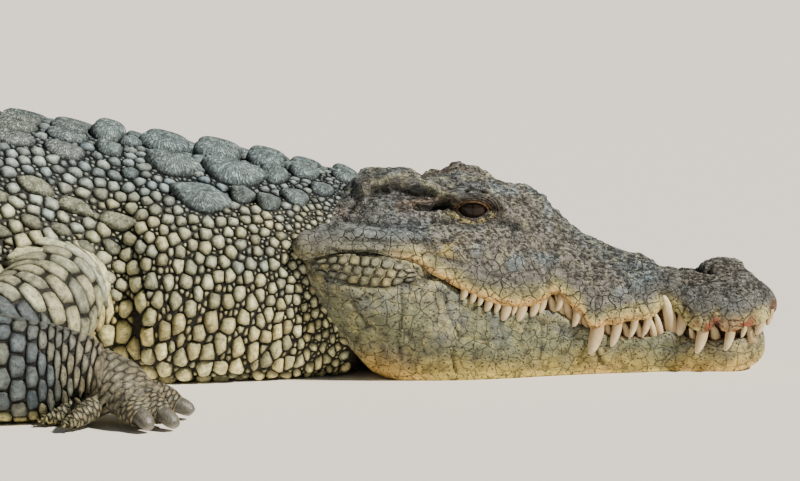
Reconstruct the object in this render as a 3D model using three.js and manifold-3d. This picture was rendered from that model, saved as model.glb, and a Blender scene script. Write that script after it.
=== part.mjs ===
// A large adult Nile crocodile lying at rest, head flat on the floor and snout towards +X.
// Millimetres, +Z up. The origin is on the floor under the middle of the belly.
// The body is a hull: sections through stations along the back, split into its parts by thin cuts.

import * as THREE from 'three';
import Module from 'manifold-3d';

const wasm = await Module();
wasm.setup();

const SNOUT_X = 1380; // the snout tip, ahead of the origin
const CUT = 0.5; // thin cut between two neighbouring parts
const GROW = 0.8; // how much a part is swollen before it cuts its neighbour, for a clear gap
const LIMB_SIDES = 8; // corners round a leg's section
const DIGIT_SIDES = 5; // and round a finger's, a toe's or a claw's
const SNOUT_ROUND = 55; // length over which the snout tip rounds off
const SNOUT_TIP_Z = 80; // height of the snout tip
const CHIN_BACK = 14; // the chin starts this far behind the snout tip
const CHIN_ROUND = 50;
const CHIN_Z = 26;
const MOUTH_CORNER = 466;
const PALATE_RISE = 16; // the palate is this much above the lip edge

const EYE_BACK = 379;
const EYE_SIDE = 61;
const EYE_Z = 208;
const EYE_RADIUS = 21;

const NECK_FRONT = 505;
const NECK_REAR = 800;
const NECK_STEP = 100;
const TRUNK_WAIST = 1350; // the trunk is split here
const TRUNK_REAR = 1870; // at the vent, where the tail starts
const TAIL_ENDS = [2310, 2750, 3190, 3600]; // the rear end of each length of tail
const TRUNK_SCUTE = 60; // length of one cross row of scutes on the back
const TAIL_SCUTE = 66; // length of one whorl of the tail
const SCUTE_KEEL = 9; // how far a keel stands above the back
const KEEL_ROWS = [18, 52, 84]; // distance of the keel rows from the middle of the back

const SKIN = { color: 0x6f7468, roughness: 0.75, metalness: 0 };
const PALE = { color: 0xa9a27a, roughness: 0.7, metalness: 0 };
const HORN = { color: 0x5d5a52, roughness: 0.5, metalness: 0 };
const EYE = { color: 0x3a2a14, roughness: 0.1, metalness: 0 };

// Upper head: distance behind the snout tip, then crown height, and side and height of the rim
// (snout edge, brow, skull table), the temple, the cheek and the upper lip.
const HEAD_STATIONS = [
  [0, 112, 30, 108, 50, 98, 62, 82, 60, 54],
  [25, 118, 32, 113, 52, 102, 63, 84, 60, 53],
  [42, 128, 34, 123, 54, 108, 64, 84, 61, 52],
  [66, 137, 32, 130, 54, 108, 64, 82, 62, 50],
  [81, 134, 32, 126, 54, 106, 64, 82, 62, 49],
  [105, 122, 33, 117, 49, 103, 59, 82, 58, 49],
  [125, 120, 33, 115, 43, 102, 48, 86, 46, 68],
  [141, 123, 34, 117, 41, 104, 43, 93, 40, 82],
  [158, 132, 37, 123, 50, 106, 57, 86, 55, 68],
  [190, 144, 43, 135, 62, 112, 72, 84, 70, 63],
  [225, 157, 47, 148, 69, 121, 79, 88, 79, 56],
  [250, 168, 48, 160, 72, 130, 82, 98, 82, 80],
  [281, 186, 48, 190, 75, 146, 88, 114, 87, 103],
  [300, 196, 47, 211, 77, 160, 93, 118, 92, 90],
  [322, 205, 48, 227, 78, 180, 99, 120, 98, 88],
  [350, 214, 52, 236, 76, 204, 108, 126, 107, 90],
  [378, 222, 54, 247, 72, 222, 118, 134, 116, 101],
  [400, 228, 54, 250, 74, 216, 124, 142, 122, 112],
  [425, 233, 60, 240, 80, 212, 131, 152, 129, 127],
  [466, 236, 68, 250, 86, 212, 138, 172, 138, 164],
  [500, 234, 68, 248, 90, 210, 143, 168, 144, 150],
  [530, 226, 62, 234, 90, 206, 144, 168, 145, 148],
  [560, 214, 50, 216, 88, 198, 138, 170, 138, 152],
  [586, 204, 40, 204, 76, 192, 124, 174, 124, 162],
  [604, 196, 30, 196, 56, 190, 92, 180, 91, 176],
];

// Lower jaw: distance behind the snout tip, then side and height of the top edge, the widest
// line and the edge of the flat it rests on.
const JAW_STATIONS = [
  [0, 44, 46, 46, 34, 32, 0],
  [60, 46, 44, 49, 30, 42, 0],
  [102, 46, 41, 49, 26, 42, 0],
  [139, 43, 51, 47, 30, 41, 0],
  [160, 48, 45, 52, 28, 46, 0],
  [215, 65, 51, 66, 32, 56, 0],
  [250, 71, 64, 73, 40, 64, 0],
  [286, 79, 82, 85, 48, 74, 0],
  [350, 98, 84, 108, 52, 94, 0],
  [385, 108, 98, 120, 58, 102, 0],
  [417, 120, 117, 130, 66, 106, 0],
  [435, 127, 130, 135, 70, 107, 0],
  [466, 138, 163.5, 142, 84, 104, 0],
  [500, 144, 149.5, 143, 90, 92, 6],
  [534, 145, 147, 140, 100, 96, 40],
  [562, 137, 151.5, 130, 112, 90, 68],
  [586, 123, 161.5, 116, 135, 80, 105],
  [604, 90, 175.5, 88, 160, 60, 150],
];

// Neck, trunk and tail: distance behind the snout tip along the back, then half width, height
// of the back, height of the widest line and half width of the flat underneath.
const BODY_STATIONS = [
  [505, 96, 232, 120, 60],
  [560, 114, 256, 110, 76],
  [600, 128, 262, 104, 88],
  [660, 146, 270, 100, 100],
  [720, 160, 279, 98, 110],
  [780, 172, 288, 98, 118],
  [805, 158, 293, 100, 110],
  [850, 166, 303, 110, 112],
  [950, 204, 319, 124, 128],
  [1100, 238, 332, 128, 160],
  [1300, 264, 340, 130, 190],
  [1500, 262, 336, 128, 190],
  [1700, 226, 322, 126, 150],
  [1800, 192, 306, 124, 120],
  [1900, 162, 284, 118, 92],
  [2100, 134, 244, 104, 70],
  [2400, 102, 192, 84, 50],
  [2700, 74, 148, 66, 36],
  [3000, 50, 110, 50, 24],
  [3300, 29, 74, 34, 14],
  [3540, 12, 38, 18, 7],
  [3600, 4, 16, 8, 2],
];

const TAIL_BENDS = [
  [1700, 0],
  [2300, 24],
  [2900, 16],
  [3600, -26],
]; // heading of the body axis away from straight, in degrees

const DOUBLE_CREST = [
  [1800, 8],
  [2000, 20],
  [2350, 30],
  [2600, 26],
  [2700, 6],
];
const SINGLE_CREST = [
  [2560, 4],
  [2700, 34],
  [3100, 38],
  [3450, 24],
  [3600, 6],
]; // height of the upright scutes on the tail, paired and then single

// Teeth: distance behind the snout tip, root radius, length that shows.
const UPPER_TEETH = [
  [9, 5, 14],
  [24, 5, 14],
  [43, 4, 14],
  [61, 6.5, 24],
  [94, 7.5, 28],
  [119, 5, 17],
  [163, 5, 18],
  [181, 5, 20],
  [202, 7, 26],
  [228, 9, 36],
  [251, 5.5, 19],
  [272, 5, 16],
  [302, 5.5, 15],
  [320, 7, 20],
  [340, 6.5, 20],
  [361, 5, 11],
];
const LOWER_TEETH = [
  [77, 6, 17],
  [134, 8, 42],
  [150, 4.5, 24],
  [171, 3.5, 14],
  [189, 3, 12],
  [262, 5.5, 24],
  [281, 5, 18],
];

// Straight flights of values are joined by a smooth curve that never overshoots its stations.
function smooth(rows) {
  const x = rows.map((row) => row[0]);
  const columns = rows[0].slice(1).map((_, c) => rows.map((row) => row[c + 1]));
  const slopes = columns.map((y) => monotoneSlopes(x, y));
  return (at) => {
    const t = Math.min(Math.max(at, x[0]), x[x.length - 1]);
    let i = 0;
    while (i < x.length - 2 && t > x[i + 1]) i += 1;
    const w = x[i + 1] - x[i];
    const u = (t - x[i]) / w;
    return columns.map((y, c) => {
      const rise = (3 - 2 * u) * u * u;
      const lead = slopes[c][i] * w * u * (1 - u) * (1 - u);
      const trail = slopes[c][i + 1] * w * u * u * (1 - u);
      return y[i] + (y[i + 1] - y[i]) * rise + lead - trail;
    });
  };
}

function monotoneSlopes(x, y) {
  const chord = y.slice(1).map((v, i) => (v - y[i]) / (x[i + 1] - x[i]));
  return y.map((_, i) => {
    const before = chord[Math.max(i - 1, 0)];
    const after = chord[Math.min(i, chord.length - 1)];
    return before * after <= 0 ? 0 : (2 * before * after) / (before + after);
  });
}

const headAt = smooth(HEAD_STATIONS);
const jawAt = smooth(JAW_STATIONS);
const bodyAt = smooth(BODY_STATIONS);
const headingAt = smooth(TAIL_BENDS);
const doubleCrestAt = smooth(DOUBLE_CREST);
const singleCrestAt = smooth(SINGLE_CREST);

// The body axis: straight to the hips, then bending sideways along the tail.
const AXIS_STEP = 10;
const axis = [{ x: SNOUT_X, y: 0, heading: 0 }];
for (let back = AXIS_STEP; back <= 3600; back += AXIS_STEP) {
  const last = axis[axis.length - 1];
  const heading = THREE.MathUtils.degToRad(headingAt(back)[0]);
  axis.push({
    x: last.x - AXIS_STEP * Math.cos(heading),
    y: last.y + AXIS_STEP * Math.sin(heading),
    heading,
  });
}

function place(back, side, z) {
  const i = Math.min(Math.floor(back / AXIS_STEP), axis.length - 2);
  const share = back / AXIS_STEP - i;
  const x = THREE.MathUtils.lerp(axis[i].x, axis[i + 1].x, share);
  const y = THREE.MathUtils.lerp(axis[i].y, axis[i + 1].y, share);
  const heading = THREE.MathUtils.lerp(axis[i].heading, axis[i + 1].heading, share);
  return new THREE.Vector3(x + side * Math.sin(heading), y + side * Math.cos(heading), z);
}

// A closed skin over rings with equal numbers of points. Each end is closed by a fan round the
// middle of its ring, or round the point given for it.
function loft(rings, ends = []) {
  const count = rings[0].length;
  const points = rings.flat();
  const index = [];
  for (let r = 0; r + 1 < rings.length; r += 1) {
    for (let k = 0; k < count; k += 1) {
      const a = r * count + k;
      const b = r * count + ((k + 1) % count);
      index.push(a, b, b + count, a, b + count, a + count);
    }
  }
  [rings[0], rings[rings.length - 1]].forEach((ring, end) => {
    const middle = new THREE.Vector3();
    ring.forEach((p) => middle.addScaledVector(p, 1 / count));
    const hub = points.push(ends[end] ?? middle) - 1;
    const first = end * (rings.length - 1) * count;
    for (let k = 0; k < count; k += 1) {
      const a = first + k;
      const b = first + ((k + 1) % count);
      index.push(...(end === 0 ? [b, a, hub] : [a, b, hub]));
    }
  });
  return solid(points, index);
}

function solid(points, index) {
  const geometry = new THREE.BufferGeometry();
  geometry.setAttribute('position', new THREE.Float32BufferAttribute(points.flatMap((p) => p.toArray()), 3));
  geometry.setIndex(index);
  geometry.computeVertexNormals();
  const manifold = toManifold(geometry.attributes.position.array, index);
  if (manifold.volume() > 0) return manifold;
  return toManifold(geometry.attributes.position.array, index.slice().reverse());
}

function toManifold(positions, index) {
  const mesh = new wasm.Mesh({
    numProp: 3,
    vertProperties: new Float32Array(positions),
    triVerts: new Uint32Array(index),
  });
  mesh.merge();
  return new wasm.Manifold(mesh);
}

function toGeometry(manifold) {
  const mesh = manifold.getMesh();
  const geometry = new THREE.BufferGeometry();
  geometry.setAttribute('position', new THREE.BufferAttribute(new Float32Array(mesh.vertProperties), 3));
  geometry.setIndex(new THREE.BufferAttribute(new Uint32Array(mesh.triVerts), 1));
  return geometry;
}

// The same solid with every corner moved out along its normal, to cut a clear gap with.
function swell(manifold, by = GROW) {
  const geometry = toGeometry(manifold);
  geometry.computeVertexNormals();
  const p = geometry.attributes.position;
  const n = geometry.attributes.normal;
  for (let i = 0; i < p.count; i += 1) {
    p.setXYZ(i, p.getX(i) + n.getX(i) * by, p.getY(i) + n.getY(i) * by, p.getZ(i) + n.getZ(i) * by);
  }
  return toManifold(p.array, Array.from(geometry.index.array));
}

// Cutting can leave a sliver apart from the piece, which is dropped.
function largest(manifold) {
  const pieces = manifold.decompose();
  return pieces.reduce((best, piece) => (piece.volume() > best.volume() ? piece : best));
}

function join(solids) {
  return solids.reduce((whole, piece) => whole.add(piece));
}

// A section's half outline is mirrored into a full ring, which starts at the top.
function ringFrom(half, back) {
  const left = half.map(([side, z]) => place(back, side, z));
  const right = half
    .filter(([side]) => side > 1e-6)
    .reverse()
    .map(([side, z]) => place(back, -side, z));
  return left.concat(right);
}

function spline(points, perSpan) {
  const curve = new THREE.CatmullRomCurve3(
    points.map(([side, z]) => new THREE.Vector3(side, z, 0)),
    false,
    'centripetal',
  );
  const spans = points.length - 1;
  return curve.getPoints(spans * perSpan).map((p) => [p.x, p.y]);
}

// How far a front end is rounded off: 0 at its tip, 1 where it has its full section.
function roundOff(from, length) {
  const rest = 1 - Math.min(Math.max(from / length, 0), 1);
  return Math.sqrt(1 - rest * rest);
}

function headRing(back) {
  const [crown, rimY, rimZ, templeY, templeZ, cheekY, cheekZ, lipY, lipZ] = headAt(back);
  const outside = [[0, crown], [rimY, rimZ], [templeY, templeZ], [cheekY, cheekZ], [lipY, lipZ]];
  const open = 1 - THREE.MathUtils.smoothstep(back, MOUTH_CORNER - 90, MOUTH_CORNER);
  const inside = [[lipY - 3 - 7 * open, lipZ + PALATE_RISE * open], [0, lipZ + PALATE_RISE * open]];
  const f = roundOff(back, SNOUT_ROUND);
  const half = spline(outside, 2).concat(inside);
  return ringFrom(half.map(([side, z]) => [side * f, SNOUT_TIP_Z + (z - SNOUT_TIP_Z) * f]), back);
}

function jawRing(back) {
  const [edgeY, edgeZ, sideY, sideZ, footY, footZ] = jawAt(back);
  const outside = spline([[edgeY, edgeZ], [sideY, sideZ], [footY, footZ]], 2);
  const half = [[0, edgeZ], ...outside, [0, footZ]];
  const f = roundOff(back - CHIN_BACK, CHIN_ROUND);
  return ringFrom(half.map(([side, z]) => [side * f, CHIN_Z + (z - CHIN_Z) * f]), back);
}

// A tooth is a cone of few sides with its root point inside the jaw. Its tip leans outwards.
function tooth(back, side, z, radius, length, down, lean) {
  const sides = radius < 6 ? 4 : 5;
  const ROOT = 11;
  const waist = Array.from({ length: sides }, (_, i) => {
    const a = (2 * Math.PI * i) / sides;
    return place(back + radius * Math.cos(a), side + 0.85 * radius * Math.sin(a), z);
  });
  const root = place(back, side * 0.98, z + down * ROOT);
  return loft([waist], [root, place(back + length * 0.12, side + lean, z - down * length)]);
}

function upperTooth([back, radius, length], hand) {
  const [, , , , , , , lipY, lipZ] = headAt(back);
  const f = roundOff(back, SNOUT_ROUND);
  const side = Math.max(lipY * f - radius * 0.5, 4);
  return tooth(back, hand * side, SNOUT_TIP_Z + (lipZ - SNOUT_TIP_Z) * f, radius, length, 1, 0);
}

function lowerTooth([back, radius, length], hand) {
  const [edgeY, edgeZ] = jawAt(back);
  const side = edgeY + radius * 0.2;
  return tooth(back, hand * side, edgeZ, radius, length, -1, hand * radius * 0.5);
}

// How far along its scute a station is decides the height of the keel there.
function keelAt(back, length) {
  const u = (back / length) % 1;
  return u < 0.7 ? u / 0.7 : (1 - u) / 0.3;
}

function bodyRing(back) {
  const [wide, top, mid, flat] = bodyAt(back);
  const onBack = THREE.MathUtils.smoothstep(back, 820, 900);
  const onTail = THREE.MathUtils.smoothstep(back, TRUNK_REAR - 60, TRUNK_REAR + 60);
  const keel = SCUTE_KEEL * onBack * (1 - onTail) * keelAt(back, TRUNK_SCUTE);
  const pair = doubleCrestAt(back)[0] * (back > 1800 ? 1 : 0) * keelAt(back, TAIL_SCUTE);
  const single = singleCrestAt(back)[0] * (back > 2560 ? 1 : 0) * keelAt(back, TAIL_SCUTE);
  const surface = (side) => mid + (top - mid) * Math.pow(1 - Math.pow(side / wide, 2.3), 1 / 2.3);
  const rows = KEEL_ROWS.map((row) => row * Math.min(1, wide / 150));
  const half = [[0, top - SCUTE_KEEL + 2 + single]];
  rows.forEach((row, i) => {
    const crest = i === 1 ? pair : 0;
    if (i === 1 || back < TRUNK_REAR) half.push([row, surface(row) - SCUTE_KEEL + 2 + keel + crest]);
  });
  [0.85, 1].forEach((share) => half.push([wide * share, surface(wide * share * 0.999)]));
  [0.5, 1].forEach((turn) => {
    const a = (turn * Math.PI) / 2;
    half.push([flat + (wide - flat) * Math.cos(a), mid * (1 - Math.sin(a))]);
  });
  return ringFrom(half, back);
}

// Stations of a stretch: one where each keel peaks, one where each scute starts.
function stretch(from, to, length) {
  const stations = [from];
  for (let n = Math.floor(from / length); n * length < to; n += 1) {
    for (const back of [n * length, (n + 0.7) * length]) {
      if (back > from + 4 && back < to - 4) stations.push(back);
    }
  }
  return [...stations, to];
}

function bodyPart(from, to, length) {
  return loft(stretch(from + CUT / 2, to - CUT / 2, length).map(bodyRing));
}

// A limb segment: elliptical sections along a line of joints, pressed flat on the floor.
function segment(joints, hand, sides = LIMB_SIDES) {
  const rings = joints.map(([back, side, z, wide, high], i) => {
    const before = joints[Math.max(i - 1, 0)];
    const after = joints[Math.min(i + 1, joints.length - 1)];
    const along = new THREE.Vector3(before[0] - after[0], after[1] - before[1], after[2] - before[2]);
    along.normalize();
    const across = new THREE.Vector3(0, 0, 1).cross(along).normalize();
    const up = along.clone().cross(across);
    return Array.from({ length: sides }, (_, k) => {
      const a = (2 * Math.PI * k) / sides;
      const p = new THREE.Vector3(SNOUT_X - back, side, z);
      p.addScaledVector(across, wide * Math.cos(a)).addScaledVector(up, high * Math.sin(a));
      return new THREE.Vector3(p.x, hand * p.y, Math.max(p.z, 0));
    });
  });
  return loft(rings);
}

// Joints of the limbs: distance behind the snout tip, side, height, half width, half height.
const UPPER_ARM = [
  [884, 130, 122, 62, 66],
  [890, 190, 110, 62, 66],
  [905, 240, 98, 60, 64],
  [938, 290, 88, 58, 62],
  [978, 330, 80, 54, 58],
  [1012, 348, 74, 40, 48],
];
const FOREARM = [
  [1040, 352, 66, 36, 44],
  [1022, 358, 60, 54, 62],
  [975, 364, 58, 56, 64],
  [905, 366, 58, 52, 62],
  [845, 364, 58, 42, 48],
  [812, 364, 54, 37, 36],
];
const PALM = [
  [811.5, 364, 54, 37, 36],
  [796, 372, 46, 40, 32],
  [780, 382, 34, 42, 28],
  [764, 388, 24, 36, 20],
];
const FINGERS = [
  [[784, 362, 32, 15, 16], [758, 352, 28, 15, 16], [734, 354, 20, 14, 15], [722, 357, 13, 11, 13]],
  [[780, 380, 32, 15, 17], [762, 398, 29, 16, 17], [744, 413, 20, 15, 15], [734, 421, 14, 12, 13]],
  [[784, 392, 32, 16, 18], [776, 410, 29, 17, 18], [766, 424, 21, 16, 16], [760, 431, 15, 13, 14]],
  [[804, 388, 28, 12, 13], [822, 412, 20, 11, 12], [838, 430, 11, 9, 9], [850, 444, 6, 4, 5]],
  [[816, 378, 26, 12, 13], [840, 390, 18, 11, 12], [862, 400, 10, 9, 9], [882, 408, 5, 4, 5]],
];
const FINGER_CLAWS = [
  [[724, 356.6, 13, 9, 11], [712, 359, 10, 7, 9], [700, 361, 4, 1.5, 3]],
  [[735, 420.2, 14, 10, 12], [726, 428, 11, 8, 10], [718, 436, 4, 1.5, 3]],
  [[761, 430, 15, 10, 13], [754, 438, 11, 8, 10], [748, 447, 4, 1.5, 3]],
];
const THIGH = [
  [1800, 90, 140, 96, 96],
  [1775, 170, 134, 88, 90],
  [1730, 240, 124, 78, 82],
  [1688, 290, 114, 66, 72],
  [1660, 318, 104, 46, 52],
];
const SHIN = [
  [1632, 318, 92, 34, 44],
  [1650, 328, 84, 54, 62],
  [1700, 352, 68, 54, 62],
  [1755, 380, 48, 42, 50],
  [1800, 402, 36, 32, 38],
  [1822, 408, 33, 22, 28],
];
const SOLE = [
  [1838, 402, 30, 20, 24],
  [1800, 424, 30, 32, 30],
  [1760, 436, 28, 38, 26],
  [1720, 444, 24, 46, 22],
  [1694, 450, 20, 48, 17],
];
const TOES = [
  [[1706, 414, 20, 13, 15], [1670, 404, 19, 12, 13], [1636, 398, 14, 10, 11]],
  [[1702, 436, 20, 13, 15], [1655, 436, 19, 12, 14], [1614, 438, 14, 11, 12]],
  [[1702, 462, 20, 13, 15], [1660, 474, 19, 12, 14], [1622, 484, 14, 11, 12]],
  [[1710, 484, 18, 11, 12], [1680, 506, 15, 10, 11], [1650, 526, 8, 5, 6]],
];
const TOE_CLAWS = [
  [[1635.5, 398, 14, 8, 9], [1622, 396, 10, 6, 7], [1608, 395, 4, 1.5, 3]],
  [[1613.5, 438, 14, 9, 10], [1599, 439, 10, 7, 8], [1584, 441, 4, 1.5, 3]],
  [[1621.5, 484.2, 14, 9, 10], [1608, 488, 10, 7, 8], [1594, 493, 4, 1.5, 3]],
];

// The big paired scutes on the nape: distance behind the snout tip, side, half length, half
// width and height above the skin.
const NAPE_SCUTES = [
  [662, 30, 30, 26, 16],
  [716, 34, 34, 30, 20],
  [768, 36, 32, 30, 20],
  [740, 84, 28, 22, 16],
];

function napeScute([back, side, halfLength, halfWidth, height], hand) {
  const [wide, top, mid] = bodyAt(back);
  const z = mid + (top - mid) * Math.pow(1 - Math.pow(side / wide, 2.3), 1 / 2.3) - SCUTE_KEEL - 6;
  const ring = (share, rise) => Array.from({ length: 6 }, (_, k) => {
    const a = (2 * Math.PI * k) / 6;
    const slope = -0.5 * halfWidth * share * Math.sin(a) * (side / wide);
    return place(
      back + halfLength * share * Math.cos(a),
      hand * (side + halfWidth * share * Math.sin(a)),
      z + rise + slope,
    );
  });
  return loft([ring(1, -6), ring(0.8, 8)], [undefined, ring(0, height + 6)[0]]);
}

// Stations of the head's rings, closest where its outline turns.
const HEAD_RINGS = [
  1, 6, 16, 32, 66, 84, 105, 125, 141, 158, 190, 225, 250, 281, 304, 328, 355, 390, 425, 466, 500,
  540, 570, 590, 604,
];
const HANDS = { left: 1, right: -1 }; // which way a piece's side distance points

function eyeball(hand) {
  const ball = new THREE.IcosahedronGeometry(EYE_RADIUS, 1).attributes.position;
  const centre = place(EYE_BACK, hand * EYE_SIDE, EYE_Z);
  const points = Array.from({ length: ball.count }, (_, i) => (
    new THREE.Vector3().fromBufferAttribute(ball, i).add(centre)
  ));
  return solid(points, points.map((_, i) => i));
}

function teethOf(rows, makeTooth) {
  return Object.values(HANDS).flatMap((hand) => rows.map((row) => makeTooth(row, hand)));
}

const shapes = {};

// Head: the skull with its upper teeth, eyes in their sockets, and the lower jaw with its teeth.
const skull = loft(HEAD_RINGS.map(headRing));
const jaw = loft([CHIN_BACK + 1, ...HEAD_RINGS.filter((back) => back > CHIN_BACK + 6)].map(jawRing));
for (const [name, hand] of Object.entries(HANDS)) {
  shapes[`eye_${name}`] = eyeball(hand);
}
const upperTeeth = teethOf(UPPER_TEETH, upperTooth);
const sockets = join([swell(shapes.eye_left), swell(shapes.eye_right)]);
shapes.head = join([skull, ...upperTeeth]).subtract(sockets);
const jawCutter = join([skull, ...upperTeeth].map((piece) => swell(piece)));
shapes.lower_jaw = join([jaw, ...teethOf(LOWER_TEETH, lowerTooth)]).subtract(jawCutter);

// Neck: a collar that the back of the head is cut out of, with the big scutes of the nape.
const collar = bodyPart(NECK_FRONT, NECK_REAR, NECK_STEP);
shapes.neck = join([collar, ...teethOf(NAPE_SCUTES, napeScute)])
  .subtract(swell(skull, 2 * GROW))
  .subtract(swell(jaw, 3 * GROW));

// Trunk and tail: lengths of one hull.
shapes.trunk_front = bodyPart(NECK_REAR, TRUNK_WAIST, TRUNK_SCUTE);
shapes.trunk_rear = bodyPart(TRUNK_WAIST, TRUNK_REAR, TRUNK_SCUTE);
TAIL_ENDS.forEach((end, i) => {
  const start = i === 0 ? TRUNK_REAR : TAIL_ENDS[i - 1];
  shapes[`tail_${i + 1}`] = bodyPart(start, end, TAIL_SCUTE);
});

// Legs: each has an upper and a lower length, and a paw with its digits joined on and its
// claws set in.
const bodyCutters = [shapes.trunk_front, shapes.trunk_rear, shapes.tail_1].map((part) => (
  swell(part, 2 * GROW)
));

function leg(names, upperJoints, lowerJoints, palmJoints, digits, claws, name, hand) {
  const lower = segment(lowerJoints, hand);
  const upper = bodyCutters.reduce((rest, part) => rest.subtract(part), segment(upperJoints, hand));
  const digitSolids = digits.map((joints) => segment(joints, hand, DIGIT_SIDES));
  let paw = join([segment(palmJoints, hand), ...digitSolids]).subtract(swell(lower));
  claws.forEach((joints, i) => {
    const claw = segment(joints, hand, DIGIT_SIDES);
    paw = paw.subtract(swell(claw));
    shapes[`${names.claw}_${i + 1}_${name}`] = claw;
  });
  shapes[`${names.upper}_${name}`] = upper.subtract(swell(lower));
  shapes[`${names.lower}_${name}`] = lower;
  shapes[`${names.paw}_${name}`] = paw;
}

const ARM = { upper: 'upper_arm', lower: 'forearm', paw: 'hand', claw: 'finger_claw' };
const HIND_LEG = { upper: 'thigh', lower: 'shin', paw: 'foot', claw: 'toe_claw' };
for (const [name, hand] of Object.entries(HANDS)) {
  leg(ARM, UPPER_ARM, FOREARM, PALM, FINGERS, FINGER_CLAWS, name, hand);
  leg(HIND_LEG, THIGH, SHIN, SOLE, TOES, TOE_CLAWS, name, hand);
}

const crocodile = new THREE.Group();
const looks = { eye: EYE, finger: HORN, toe: HORN, lower: PALE };
for (const [name, manifold] of Object.entries(shapes)) {
  const look = looks[name.split('_')[0]] ?? SKIN;
  const mesh = new THREE.Mesh(toGeometry(largest(manifold)), new THREE.MeshStandardMaterial(look));
  mesh.name = name;
  crocodile.add(mesh);
}

export default crocodile;
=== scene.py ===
"""The looks of a large adult Nile crocodile lying at rest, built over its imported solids.

Its own sizes are in millimetres and are turned to metres as each mesh is made.
"back" is the distance behind the snout tip along the body and "side" the distance from its axis.
"""

import math

import bpy
import numpy as np
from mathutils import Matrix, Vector, kdtree
from mathutils.bvhtree import BVHTree


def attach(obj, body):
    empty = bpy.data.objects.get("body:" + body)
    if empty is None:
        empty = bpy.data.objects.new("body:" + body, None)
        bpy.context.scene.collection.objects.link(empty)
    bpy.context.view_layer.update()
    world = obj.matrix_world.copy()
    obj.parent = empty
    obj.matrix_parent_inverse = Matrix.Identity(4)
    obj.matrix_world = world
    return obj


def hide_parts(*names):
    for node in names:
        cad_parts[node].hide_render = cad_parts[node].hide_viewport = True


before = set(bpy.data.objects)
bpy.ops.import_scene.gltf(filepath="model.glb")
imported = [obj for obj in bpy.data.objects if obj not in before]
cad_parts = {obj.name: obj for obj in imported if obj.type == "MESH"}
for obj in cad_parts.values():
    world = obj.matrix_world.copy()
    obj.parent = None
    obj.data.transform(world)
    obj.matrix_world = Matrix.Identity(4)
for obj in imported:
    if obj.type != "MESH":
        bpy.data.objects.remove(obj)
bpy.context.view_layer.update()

# ------------------------------------------------------------------ skin
# The hide over head, jaw, neck, trunk, tail and legs, without its scales, as closed shells that
# run into each other. Head and jaw are bare fine sections with their folds pressed in. The rest
# is lofts grown together, which lie inside the solids by the depth of the scales on them.

MM = 0.001
SNOUT_X = 1380
SNOUT_ROUND = 55
SNOUT_TIP_Z = 80
CHIN_BACK = 14
CHIN_ROUND = 50
CHIN_Z = 26
MOUTH_CORNER = 450
HEAD_REAR = 604
HANDS = {"left": 1, "right": -1}

# Upper head: back, crown height, side and height of the rim, temple and cheek, side of the lip.
HEAD_STATIONS = [
    [0, 112, 30, 108, 50, 98, 62, 82, 60],
    [25, 118, 32, 113, 52, 102, 63, 84, 60],
    [42, 128, 34, 123, 54, 108, 64, 84, 61],
    [66, 134, 32, 128, 54, 108, 64, 82, 62],
    [81, 132, 32, 125, 54, 106, 64, 82, 62],
    [105, 122, 33, 117, 49, 103, 59, 82, 58],
    [125, 120, 33, 115, 43, 102, 48, 86, 46],
    [141, 123, 34, 117, 41, 104, 43, 93, 40],
    [158, 136, 37, 126, 50, 106, 57, 86, 55],
    [190, 144, 43, 135, 62, 112, 72, 84, 70],
    [225, 157, 47, 148, 69, 121, 79, 88, 79],
    [250, 168, 48, 160, 72, 130, 82, 98, 82],
    [281, 186, 48, 190, 75, 146, 88, 114, 87],
    [300, 196, 47, 211, 77, 160, 93, 118, 92],
    [322, 203, 48, 221, 78, 180, 99, 120, 98],
    [350, 212, 52, 231, 76, 204, 108, 126, 107],
    [378, 220, 54, 243, 72, 222, 118, 134, 116],
    [400, 226, 54, 249, 74, 216, 124, 142, 122],
    [415, 228, 58, 243, 77, 214, 128, 146, 126],
    [428, 227, 62, 239, 80, 212, 131, 152, 129],
    [453, 228, 68, 236, 84, 212, 136, 164, 134],
    [472, 230, 70, 243, 86, 212, 139, 172, 138],
    [500, 230, 68, 243, 90, 210, 143, 168, 144],
    [530, 226, 62, 234, 90, 206, 144, 168, 145],
    [560, 214, 50, 216, 88, 198, 138, 170, 138],
    [586, 204, 40, 204, 76, 192, 124, 174, 124],
    [604, 196, 30, 196, 56, 190, 92, 180, 91],
]
# The edge of the upper lip: it hangs in festoons between the big teeth.
LIP_LINE = [
    [0, 60], [8, 63], [22, 60], [50, 58], [62, 54], [76, 55], [80, 64], [94, 54], [108, 55],
    [115, 60], [122, 68], [132, 76], [146, 80], [153, 76], [161, 70], [172, 69], [196, 68],
    [203, 64], [218, 66], [229, 60], [241, 64], [248, 78], [258, 86], [268, 95], [278, 103],
    [285, 104], [295, 97], [307, 92], [326, 91], [347, 94], [361, 98], [381, 107], [400, 116],
    [421, 128], [436, 136], [450, 147], [474, 155], [513, 163], [540, 163], [573, 158],
    [590, 162], [604, 172],
]  # fmt: skip
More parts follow.
